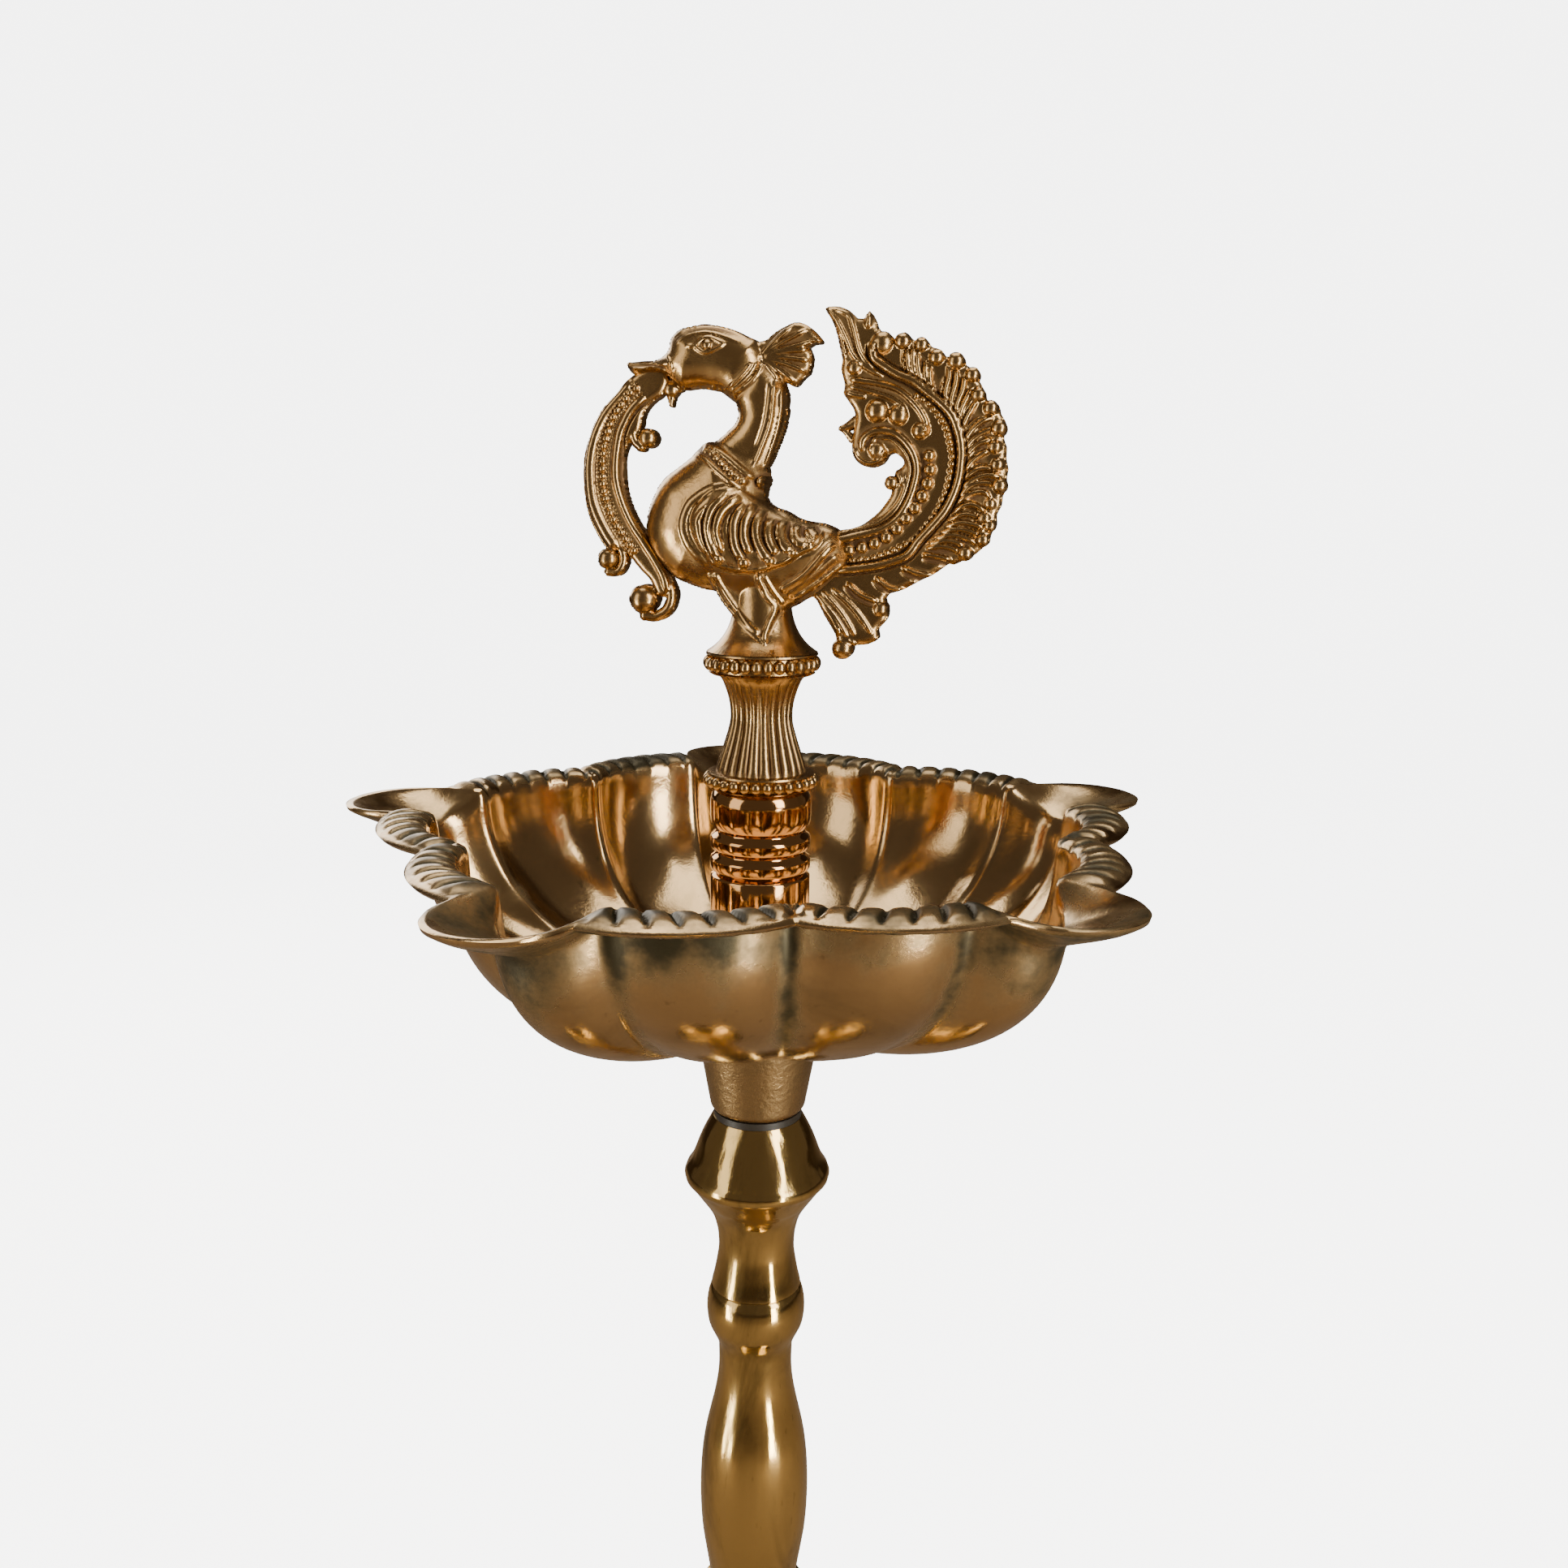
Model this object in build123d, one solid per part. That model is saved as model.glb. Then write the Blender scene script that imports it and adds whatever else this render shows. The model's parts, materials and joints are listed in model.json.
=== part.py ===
"""Brass standing oil lamp with a five-beaked bowl and a bird finial.

All sizes are in millimetres. The origin is the centre of the foot's resting face,
+Z is up, and the lamp's axis is the Z axis. The lamp is a stack of screwed pieces,
so every level is the sum of the heights below it.
"""
from build123d import *
import math
import os

# ---- foot: hollow stepped bell
FOOT_RADIUS = 62.5
FOOT_EDGE_HEIGHT = 5.0
FOOT_SWEEP_HEIGHT = 13.0
FOOT_SWEEP_START = (-1, 0, 0.42)
FOOT_SWEEP_END = (-0.85, 0, 0.6)
FOOT_STEP_RADIUS = 40.0
FOOT_STEP_HEIGHT = 5.0
FOOT_BELL_HEIGHT = 27.0
FOOT_BELL_RADIUS = 37.0
FOOT_BELL_START = (0, 0, 1)
FOOT_BELL_END = (-0.12, 0, 1)
FOOT_NECK_RADIUS = 12.0
FOOT_CROWN_RADIUS = 15.0
FOOT_CROWN_HEIGHT = 10.0
FOOT_CROWN_ROUNDING = 3.0
FOOT_WALL = 2.5
FOOT_HUB_DEPTH = 10.0

# ---- stem sections: double-cone head, waist, knop and a long bulb
HEAD_TOP_RADIUS = 7.9
HEAD_RADIUS = 13.1
HEAD_CONE_HEIGHT = 10.9
HEAD_UNDER_HEIGHT = 5.4
HEAD_FOOT_RADIUS = 9.4
HEAD_ROUNDING = 1.6
WAIST_RADIUS = 6.8
WAIST_DROP = 8.9
WAIST_HEIGHT = 16.7
GROOVE_RADIUS = 8.1
KNOP_RADIUS = 8.9
KNOP_DROP = 4.2
KNOP_HEIGHT = 10.5
KNOP_FOOT_RADIUS = 7.1
NECK_RADIUS = 6.7
NECK_DROP = 6.3
UPPER_BULB_RADIUS = 10.0
UPPER_BULB_DROP = 22.8
UPPER_BULB_HEIGHT = 46.4
LOWER_BULB_RADIUS = 11.2
LOWER_BULB_DROP = 30.0
LOWER_BULB_HEIGHT = 54.0
TAIL_RADIUS = 7.6
COLLAR_RADIUS = 9.6
COLLAR_HEIGHT = 5.0
COLLAR_BULGE = 0.9
SEAT_RADIUS = HEAD_TOP_RADIUS

# ---- screws between the sections
STUD_RADIUS = 5.0
STUD_ENGAGEMENT = 12.0
BOSS_ENGAGEMENT = 7.0
ROD_RADIUS = 3.0
THREAD_CLEARANCE = 0.05
SOCKET_RELIEF = 0.8
STUD_CHAMFER = 0.6
FOOT_NUT_HEIGHT = 6.0
FOOT_NUT_WALL = 3.0
FOOT_WASHER_THICKNESS = 1.6
FOOT_WASHER_OVERHANG = 2.0
FOOT_STUD_PROUD = 2.0

# ---- bowl and its boss
BEAK_COUNT = 5
BEAK_LENGTH = 11.3
BEAK_TURN = 4.0
LIP_WIDTH = 7.8
LIP_NOTCH_WIDTH = 8.9
SCALLOP_NOTCH_ANGLE = 9.4
SCALLOP_CROWN_ANGLE = 21.0
BOWL_DEPTH = 34.0
BOWL_WALL = 1.6
LIP_THICKNESS = 1.3
WALL_PETAL_RADIUS = 55.8
WALL_VALLEY_DEPTH = 6.4
WALL_BEAK_REACH = 6.2
WALL_ROUNDNESS = 2.4
WALL_EASE = 0.7
WALL_STEPS = 7
BOWL_SEAT_MARGIN = 3.6
BOSS_TOP_RADIUS = 11.4
BOSS_FOOT_OVERHANG = 0.3
BOSS_HEIGHT = 18.0
BOSS_ROUNDING = 1.6
BOWL_WASHER_INSET = 0.1
BOWL_WASHER_THICKNESS = 1.2
POST_WASHER_OVERHANG = 2.0
POST_WASHER_THICKNESS = 1.0

# ---- finial: post, rings, spool and pedestal
POST_RADIUS = 8.55
POST_HEIGHT = 37.1
POST_GROOVE_DEPTH = 0.6
POST_GROOVE_HEIGHT = 0.6
POST_BAND_HEIGHTS = (6.9, 3.1, 3.1)
BEAD_COUNT = 30
BEAD_RADIUS = 1.0
BEAD_SINK = 0.1
RING_OVERHANG = 0.45
LOWER_RING_HEIGHT = 3.0
UPPER_RING_HEIGHT = 3.8
SPOOL_HEIGHT = 16.3
SPOOL_BOTTOM_RADIUS = 7.7
SPOOL_WAIST_RADIUS = 5.2
SPOOL_TOP_RADIUS = 7.5
PEDESTAL_HEIGHT = 9.3
PEDESTAL_OVERHANG = 0.2
PEDESTAL_TOP_RADIUS = 4.7
ROD_IN_PEDESTAL = 4.0
PEG_RADIUS = 2.4
PEG_LENGTH = 3.6
PEG_IN_BIRD = 2.0

# ---- bird: a two-sided casting, its outline seen from the side
BIRD_YAW = -12.0
PLATE_THICKNESS = 5.0
LEAF_THICKNESS = 4.0
BODY_DEPTH = 14.0
BACK_DEPTH = 12.6
HEAD_DEPTH = 9.0
NECK_THICKNESS = 7.0
GARLAND_THICKNESS = 4.6
CREST_THICKNESS = 3.6
PANEL_THICKNESS = 9.6
EGG_STEPS = 6
EGG_END_ANGLE = 16.0

# ---- radii that follow what they fit
WALL_VALLEY_RADIUS = WALL_PETAL_RADIUS - WALL_VALLEY_DEPTH
WALL_BEAK_RADIUS = WALL_PETAL_RADIUS + WALL_BEAK_REACH
SCALLOP_CROWN_RADIUS = WALL_PETAL_RADIUS + LIP_WIDTH
SCALLOP_VALLEY_RADIUS = WALL_VALLEY_RADIUS + LIP_WIDTH
SCALLOP_NOTCH_RADIUS = WALL_PETAL_RADIUS + LIP_NOTCH_WIDTH
BEAK_TIP_RADIUS = SCALLOP_NOTCH_RADIUS + BEAK_LENGTH
FOOT_NUT_FLAT_RADIUS = STUD_RADIUS + FOOT_NUT_WALL
FOOT_WASHER_RADIUS = FOOT_NUT_FLAT_RADIUS + FOOT_WASHER_OVERHANG
BOSS_FOOT_RADIUS = HEAD_TOP_RADIUS + BOSS_FOOT_OVERHANG
BOWL_SEAT_RADIUS = BOSS_TOP_RADIUS + BOWL_SEAT_MARGIN
BOWL_WASHER_RADIUS = HEAD_TOP_RADIUS - BOWL_WASHER_INSET
POST_WASHER_RADIUS = POST_RADIUS + POST_WASHER_OVERHANG
POST_GROOVE_RADIUS = POST_RADIUS - POST_GROOVE_DEPTH
RING_CORE_RADIUS = POST_RADIUS + RING_OVERHANG
BEAD_CIRCLE_RADIUS = RING_CORE_RADIUS - BEAD_SINK
PEDESTAL_FOOT_RADIUS = RING_CORE_RADIUS + PEDESTAL_OVERHANG

# ---- levels of the stack
FOOT_CURVE_HEIGHT = FOOT_EDGE_HEIGHT + FOOT_SWEEP_HEIGHT + FOOT_STEP_HEIGHT + FOOT_BELL_HEIGHT
FOOT_TOP = FOOT_CURVE_HEIGHT + FOOT_CROWN_HEIGHT
FOOT_CEILING = FOOT_CURVE_HEIGHT - FOOT_HUB_DEPTH
HEAD_HEIGHT = HEAD_CONE_HEIGHT + HEAD_UNDER_HEIGHT
ABOVE_BULB = HEAD_HEIGHT + WAIST_HEIGHT + KNOP_HEIGHT + NECK_DROP
LOWER_STEM_TOP = FOOT_TOP + COLLAR_HEIGHT + LOWER_BULB_HEIGHT + ABOVE_BULB
UPPER_STEM_TOP = LOWER_STEM_TOP + COLLAR_HEIGHT + UPPER_BULB_HEIGHT + ABOVE_BULB
BOSS_BOTTOM = UPPER_STEM_TOP + BOWL_WASHER_THICKNESS
BOWL_BOTTOM = BOSS_BOTTOM + BOSS_HEIGHT
RIM_LEVEL = BOWL_BOTTOM + BOWL_DEPTH
BOWL_FLOOR = BOWL_BOTTOM + BOWL_WALL
POST_BOTTOM = BOWL_FLOOR + POST_WASHER_THICKNESS
POST_TOP = POST_BOTTOM + POST_HEIGHT
SPOOL_BOTTOM = POST_TOP + LOWER_RING_HEIGHT
UPPER_RING_BOTTOM = SPOOL_BOTTOM + SPOOL_HEIGHT
PEDESTAL_BOTTOM = UPPER_RING_BOTTOM + UPPER_RING_HEIGHT
PEDESTAL_TOP = PEDESTAL_BOTTOM + PEDESTAL_HEIGHT
ROD_TOP = PEDESTAL_BOTTOM + ROD_IN_PEDESTAL


def turned(edges):
    """A solid of revolution from an outline in the XZ plane, given as joined edges."""
    return revolve(make_face(Wire(edges)), Axis.Z)


def at(radius, height):
    """A point of a turned outline."""
    return Vector(radius, 0, height)


def rod(radius, bottom, top):
    """An upright cylinder on the lamp's axis."""
    return Pos(0, 0, bottom) * Cylinder(radius, top - bottom, align=(Align.CENTER, Align.CENTER, Align.MIN))


def pin(radius, bottom, top):
    """A stud on the lamp's axis with both ends chamfered."""
    body = rod(radius, bottom, top)
    return chamfer(body.edges().filter_by(GeomType.CIRCLE), STUD_CHAMFER)


def socket(radius, bottom, top):
    """The bore that takes a stud of this radius."""
    return rod(radius + THREAD_CLEARANCE, bottom, top)


# ---------------------------------------------------------------- foot
def foot_bell(inset):
    """The bell as a solid, with its outline moved inwards and down by the inset."""
    edge_level = FOOT_EDGE_HEIGHT - inset
    step_level = edge_level + FOOT_SWEEP_HEIGHT
    bell_level = step_level + FOOT_STEP_HEIGHT
    top_level = FOOT_CURVE_HEIGHT - inset
    edge_low = at(FOOT_RADIUS - inset, 0)
    edge_high = at(FOOT_RADIUS - inset, edge_level)
    step_low = at(FOOT_STEP_RADIUS - inset, step_level)
    step_high = at(FOOT_STEP_RADIUS - inset, bell_level)
    bell_low = at(FOOT_BELL_RADIUS - inset, bell_level)
    bell_high = at(FOOT_NECK_RADIUS - inset, top_level)
    return turned([
        Line(at(0, 0), edge_low),
        Line(edge_low, edge_high),
        Spline([edge_high, step_low], tangents=[FOOT_SWEEP_START, FOOT_SWEEP_END]),
        Line(step_low, step_high),
        Line(step_high, bell_low),
        Spline([bell_low, bell_high], tangents=[FOOT_BELL_START, FOOT_BELL_END]),
        Line(bell_high, at(0, top_level)),
        Line(at(0, top_level), at(0, 0)),
    ])


def foot():
    """Hollow stepped bell with a solid hub and a turned crown."""
    crown = rod(FOOT_CROWN_RADIUS, FOOT_CURVE_HEIGHT, FOOT_TOP)
    crown = fillet(crown.edges().filter_by(GeomType.CIRCLE), FOOT_CROWN_ROUNDING)
    seat = rod(SEAT_RADIUS, FOOT_TOP - FOOT_CROWN_HEIGHT, FOOT_TOP)
    hollow = foot_bell(FOOT_WALL) & rod(FOOT_RADIUS, 0, FOOT_CEILING)
    bore = socket(STUD_RADIUS, 0, FOOT_TOP)
    return foot_bell(0) + crown + seat - hollow - bore


def foot_washer():
    """Flat washer under the hub."""
    disc = rod(FOOT_WASHER_RADIUS, FOOT_CEILING - FOOT_WASHER_THICKNESS, FOOT_CEILING)
    return disc - socket(STUD_RADIUS, 0, FOOT_CEILING)


def foot_nut():
    """Hexagonal nut that clamps the foot stud from below."""
    top = FOOT_CEILING - FOOT_WASHER_THICKNESS
    hexagon = RegularPolygon(FOOT_NUT_FLAT_RADIUS, 6, major_radius=False)
    body = Pos(0, 0, top - FOOT_NUT_HEIGHT) * extrude(hexagon, FOOT_NUT_HEIGHT)
    return body - socket(STUD_RADIUS, 0, FOOT_CEILING)


def foot_stud():
    """Stud from below the nut up into the lower stem."""
    bottom = FOOT_CEILING - FOOT_WASHER_THICKNESS - FOOT_NUT_HEIGHT - FOOT_STUD_PROUD
    return pin(STUD_RADIUS, bottom, FOOT_TOP + STUD_ENGAGEMENT)


# ---------------------------------------------------------------- stem
def stem_section(bottom, top, bulb_radius, bulb_drop):
    """A turned baluster: head, waist, knop and a long bulb that ends in a collar."""
    shoulder = top - HEAD_CONE_HEIGHT
    head_foot = top - HEAD_HEIGHT
    groove = head_foot - WAIST_HEIGHT
    knop_foot = groove - KNOP_HEIGHT
    neck = knop_foot - NECK_DROP
    tail = bottom + COLLAR_HEIGHT
    knop_end = at(KNOP_FOOT_RADIUS, knop_foot)
    outline = [
        Line(at(0, top), at(HEAD_TOP_RADIUS, top)),
        Line(at(HEAD_TOP_RADIUS, top), at(HEAD_RADIUS, shoulder)),
        Line(at(HEAD_RADIUS, shoulder), at(HEAD_FOOT_RADIUS, head_foot)),
        Spline(
            [
                at(HEAD_FOOT_RADIUS, head_foot),
                at(WAIST_RADIUS, head_foot - WAIST_DROP),
                at(GROOVE_RADIUS, groove),
            ],
            tangents=[(-0.35, 0, -1), (0.3, 0, -1)],
        ),
        ThreePointArc(at(GROOVE_RADIUS, groove), at(KNOP_RADIUS, groove - KNOP_DROP), knop_end),
        Spline(
            [knop_end, at(NECK_RADIUS, neck), at(bulb_radius, neck - bulb_drop), at(TAIL_RADIUS, tail)],
            tangents=[(-0.1, 0, -1), (-0.25, 0, -1)],
        ),
        Line(at(TAIL_RADIUS, tail), at(COLLAR_RADIUS, tail)),
        ThreePointArc(
            at(COLLAR_RADIUS, tail),
            at(COLLAR_RADIUS + COLLAR_BULGE, (tail + bottom) / 2),
            at(SEAT_RADIUS, bottom),
        ),
        Line(at(SEAT_RADIUS, bottom), at(0, bottom)),
        Line(at(0, bottom), at(0, top)),
    ]
    body = turned(outline)
    rim = [e for e in body.edges().filter_by(GeomType.CIRCLE) if abs(e.radius - HEAD_RADIUS) < 0.01]
    body = fillet(rim, HEAD_ROUNDING)
    lower_socket = socket(STUD_RADIUS, bottom, bottom + STUD_ENGAGEMENT + SOCKET_RELIEF)
    upper_socket = socket(STUD_RADIUS, top - STUD_ENGAGEMENT - SOCKET_RELIEF, top)
    return body - lower_socket - upper_socket


def lower_stem():
    """Section that screws onto the foot."""
    return stem_section(FOOT_TOP, LOWER_STEM_TOP, LOWER_BULB_RADIUS, LOWER_BULB_DROP)


def stem_stud():
    """Stud that joins the two stem sections."""
    return pin(STUD_RADIUS, LOWER_STEM_TOP - STUD_ENGAGEMENT, LOWER_STEM_TOP + STUD_ENGAGEMENT)


def upper_stem():
    """Section that carries the bowl."""
    return stem_section(LOWER_STEM_TOP, UPPER_STEM_TOP, UPPER_BULB_RADIUS, UPPER_BULB_DROP)


def bowl_washer():
    """Dark sealing washer between the stem's head and the boss."""
    disc = rod(BOWL_WASHER_RADIUS, UPPER_STEM_TOP, BOSS_BOTTOM)
    return disc - socket(STUD_RADIUS, UPPER_STEM_TOP, BOSS_BOTTOM)


def bowl_stud():
    """Stud that joins the boss to the stem's head."""
    return pin(STUD_RADIUS, UPPER_STEM_TOP - STUD_ENGAGEMENT, BOSS_BOTTOM + BOSS_ENGAGEMENT)


# ---------------------------------------------------------------- bowl
def bowl_boss():
    """Tapered socket brazed under the bowl, with a solid web that keeps the oil in."""
    cone = turned([
        Line(at(0, BOSS_BOTTOM), at(BOSS_FOOT_RADIUS, BOSS_BOTTOM)),
        Line(at(BOSS_FOOT_RADIUS, BOSS_BOTTOM), at(BOSS_TOP_RADIUS, BOWL_BOTTOM)),
        Line(at(BOSS_TOP_RADIUS, BOWL_BOTTOM), at(0, BOWL_BOTTOM)),
        Line(at(0, BOWL_BOTTOM), at(0, BOSS_BOTTOM)),
    ])
    cone = fillet(cone.edges().filter_by(GeomType.CIRCLE).sort_by(Axis.Z)[0], BOSS_ROUNDING)
    stud_socket = socket(STUD_RADIUS, BOSS_BOTTOM, BOSS_BOTTOM + BOSS_ENGAGEMENT + SOCKET_RELIEF)
    rod_socket = socket(ROD_RADIUS, BOWL_BOTTOM - BOSS_ENGAGEMENT - SOCKET_RELIEF, BOWL_BOTTOM)
    return cone - stud_socket - rod_socket


def polar(radius, angle, level):
    """A point at a radius and an angle in degrees round the lamp's axis."""
    turn = math.radians(angle)
    return Vector(radius * math.cos(turn), radius * math.sin(turn), level)


def scalloped_face(level, tip, notch, notch_angle, crown, crown_angle, valley):
    """A level face with five beaks and two scallops between each pair, every edge an arc."""
    sector = 360 / BEAK_COUNT
    edges = []
    for beak in range(BEAK_COUNT):
        middle = 90 + BEAK_TURN + sector * beak
        left = middle - notch_angle
        right = middle + notch_angle
        valley_angle = middle + sector / 2
        far_notch = middle + sector - notch_angle
        edges.append(ThreePointArc(
            polar(notch, left, level),
            polar(tip, middle, level),
            polar(notch, right, level),
        ))
        edges.append(ThreePointArc(
            polar(notch, right, level),
            polar(crown, middle + crown_angle, level),
            polar(valley, valley_angle, level),
        ))
        edges.append(ThreePointArc(
            polar(valley, valley_angle, level),
            polar(crown, middle + sector - crown_angle, level),
            polar(notch, far_notch, level),
        ))
    return make_face(Wire(edges))


def wall_face(fraction, inset):
    """The wall's outline part of the way down, from 0 at the rim to 1 at the flat seat."""
    power = 2 / WALL_ROUNDNESS
    seat_angle = math.acos(((BOWL_SEAT_RADIUS - inset) / (WALL_PETAL_RADIUS - inset)) ** (1 / power))
    angle = seat_angle * fraction
    shrink = math.cos(angle) ** power
    depth = (BOWL_DEPTH - inset) * (math.sin(angle) / math.sin(seat_angle)) ** power
    ease = (1 - fraction) ** WALL_EASE

    def eased(radius):
        return shrink * (WALL_PETAL_RADIUS - inset + (radius - WALL_PETAL_RADIUS) * ease)

    return scalloped_face(
        RIM_LEVEL - depth,
        eased(WALL_BEAK_RADIUS),
        eased(WALL_PETAL_RADIUS),
        SCALLOP_NOTCH_ANGLE,
        eased(WALL_PETAL_RADIUS),
        SCALLOP_CROWN_ANGLE,
        eased(WALL_VALLEY_RADIUS),
    )


def wall_solid(inset):
    """The wall's outline lofted from the rim down to the seat."""
    return loft([wall_face(step / WALL_STEPS, inset) for step in range(WALL_STEPS + 1)])


def bowl():
    """Lobed pan with a flat lip that runs out into five beaks."""
    lip = scalloped_face(
        RIM_LEVEL,
        BEAK_TIP_RADIUS,
        SCALLOP_NOTCH_RADIUS,
        SCALLOP_NOTCH_ANGLE,
        SCALLOP_CROWN_RADIUS,
        SCALLOP_CROWN_ANGLE,
        SCALLOP_VALLEY_RADIUS,
    )
    lip_plate = extrude(lip, LIP_THICKNESS, dir=(0, 0, -1))
    mouth = extrude(wall_face(0, BOWL_WALL), LIP_THICKNESS, dir=(0, 0, 1))
    hole = socket(ROD_RADIUS, BOWL_BOTTOM, BOWL_FLOOR)
    return wall_solid(0) + lip_plate - wall_solid(BOWL_WALL) - mouth - hole


def post_washer():
    """Oil seal between the bowl's floor and the post."""
    return rod(POST_WASHER_RADIUS, BOWL_FLOOR, POST_BOTTOM) - socket(ROD_RADIUS, BOWL_FLOOR, POST_BOTTOM)


# ---------------------------------------------------------------- finial
def rod_bore(bottom, top):
    """The bore for the finial rod."""
    return socket(ROD_RADIUS, bottom, top)


def finial_rod():
    """Rod that holds the finial's pieces together and screws into the boss."""
    return pin(ROD_RADIUS, BOWL_BOTTOM - BOSS_ENGAGEMENT, ROD_TOP)


def ribbed_post():
    """Turned post with rounded bands parted by narrow grooves."""
    post = rod(POST_RADIUS, POST_BOTTOM, POST_TOP)
    level = POST_TOP
    for band in POST_BAND_HEIGHTS:
        level -= band
        groove = rod(POST_RADIUS + 1, level - POST_GROOVE_HEIGHT, level)
        post -= groove - rod(POST_GROOVE_RADIUS, level - POST_GROOVE_HEIGHT, level)
        level -= POST_GROOVE_HEIGHT
    return post - rod_bore(POST_BOTTOM, POST_TOP)


def bead_ring(bottom, height):
    """Disc with a ring of beads round its edge."""
    ring = rod(RING_CORE_RADIUS, bottom, bottom + height)
    bead = Pos(BEAD_CIRCLE_RADIUS, 0, bottom + height / 2) * Sphere(BEAD_RADIUS)
    beads = [Rot(0, 0, 360 / BEAD_COUNT * index) * bead for index in range(BEAD_COUNT)]
    return ring + beads - rod_bore(bottom, bottom + height)


def bead_ring_lower():
    """Beaded ring between the post and the spool."""
    return bead_ring(POST_TOP, LOWER_RING_HEIGHT)


def fluted_spool():
    """Waisted spool."""
    waist = (SPOOL_BOTTOM + UPPER_RING_BOTTOM) / 2
    spool = turned([
        Line(at(0, SPOOL_BOTTOM), at(SPOOL_BOTTOM_RADIUS, SPOOL_BOTTOM)),
        Spline(
            [
                at(SPOOL_BOTTOM_RADIUS, SPOOL_BOTTOM),
                at(SPOOL_WAIST_RADIUS, waist),
                at(SPOOL_TOP_RADIUS, UPPER_RING_BOTTOM),
            ]
        ),
        Line(at(SPOOL_TOP_RADIUS, UPPER_RING_BOTTOM), at(0, UPPER_RING_BOTTOM)),
        Line(at(0, UPPER_RING_BOTTOM), at(0, SPOOL_BOTTOM)),
    ])
    return spool - rod_bore(SPOOL_BOTTOM, UPPER_RING_BOTTOM)


def bead_ring_upper():
    """Beaded ring between the spool and the pedestal."""
    return bead_ring(UPPER_RING_BOTTOM, UPPER_RING_HEIGHT)


def bird_pedestal():
    """Flared pedestal with a bore for the bird's peg."""
    flare = turned([
        Line(at(0, PEDESTAL_BOTTOM), at(PEDESTAL_FOOT_RADIUS, PEDESTAL_BOTTOM)),
        Spline(
            [at(PEDESTAL_FOOT_RADIUS, PEDESTAL_BOTTOM), at(PEDESTAL_TOP_RADIUS, PEDESTAL_TOP)],
            tangents=[(-1, 0, 0.6), (0, 0, 1)],
        ),
        Line(at(PEDESTAL_TOP_RADIUS, PEDESTAL_TOP), at(0, PEDESTAL_TOP)),
        Line(at(0, PEDESTAL_TOP), at(0, PEDESTAL_BOTTOM)),
    ])
    peg_bore = socket(PEG_RADIUS, PEDESTAL_TOP - PEG_LENGTH - SOCKET_RELIEF, PEDESTAL_TOP)
    return flare - rod_bore(PEDESTAL_BOTTOM, ROD_TOP + THREAD_CLEARANCE) - peg_bore


# ---------------------------------------------------------------- bird
def side(x, z):
    """A point of the bird's side view, measured from the top of the pedestal."""
    return Vector(x, 0, z)


def plate(edges, thickness):
    """A plate with the given side outline, centred on the bird's middle plane."""
    return extrude(make_face(Wire(edges)), thickness / 2, dir=(0, 1, 0), both=True)


def curve(*points):
    """A smooth edge through side-view points."""
    return Spline([side(x, z) for x, z in points])


def strand(radius, *points):
    """A round strand along side-view points."""
    path = curve(*points)
    return sweep(Plane(path @ 0, z_dir=path % 0) * Circle(radius), path)


def ball(x, z, radius):
    """A ball on the bird's middle plane."""
    return Pos(x, 0, z) * Sphere(radius)


def egg(x, z, half_length, half_depth, half_height, tilt=0):
    """An egg shape on the bird's middle plane, lofted along its length, with small flat ends."""
    sections = []
    for step in range(EGG_STEPS + 1):
        turn = math.radians(EGG_END_ANGLE + (180 - 2 * EGG_END_ANGLE) * step / EGG_STEPS)
        station = Pos(-half_length * math.cos(turn), 0, 0) * Rot(0, 90, 0)
        sections.append(station * Ellipse(half_height * math.sin(turn), half_depth * math.sin(turn)))
    return Pos(x, 0, z) * Rot(0, tilt, 0) * loft(sections)


def bird_body():
    """Breast, back and neck."""
    breast = egg(-7.5, 10.7, 11.8, BODY_DEPTH / 2, 10.2)
    back = egg(2.0, 9.6, 12.4, BACK_DEPTH / 2, 6.6, tilt=-4)
    neck = strand(NECK_THICKNESS / 2, (-4.6, 35.6), (0.1, 31.0), (0.0, 26.0), (-3.2, 20.5), (-7.0, 15.0))
    return breast + back + neck + ball(0.6, 18.2, 1.4)


def bird_head():
    """Head, beak, wattle and fanned crest."""
    skull = egg(-8.9, 37.7, 8.2, HEAD_DEPTH / 2, 4.9)
    beak = Pos(-17.6, 0, 36.0) * Rot(0, -90, 0) * Cone(2.7, 0.5, 9.6)
    wattle = egg(-15.6, 32.9, 1.6, 1.6, 2.4)
    crest = plate(
        [
            curve((-3.0, 37.6), (1.6, 41.2), (5.6, 42.7), (9.4, 39.9)),
            curve((9.4, 39.9), (7.3, 38.0), (7.5, 35.0), (5.0, 33.0), (0.0, 34.0)),
            Line(side(0.0, 34.0), side(-3.0, 37.6)),
        ],
        CREST_THICKNESS,
    )
    return skull + beak + wattle + crest


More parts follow.
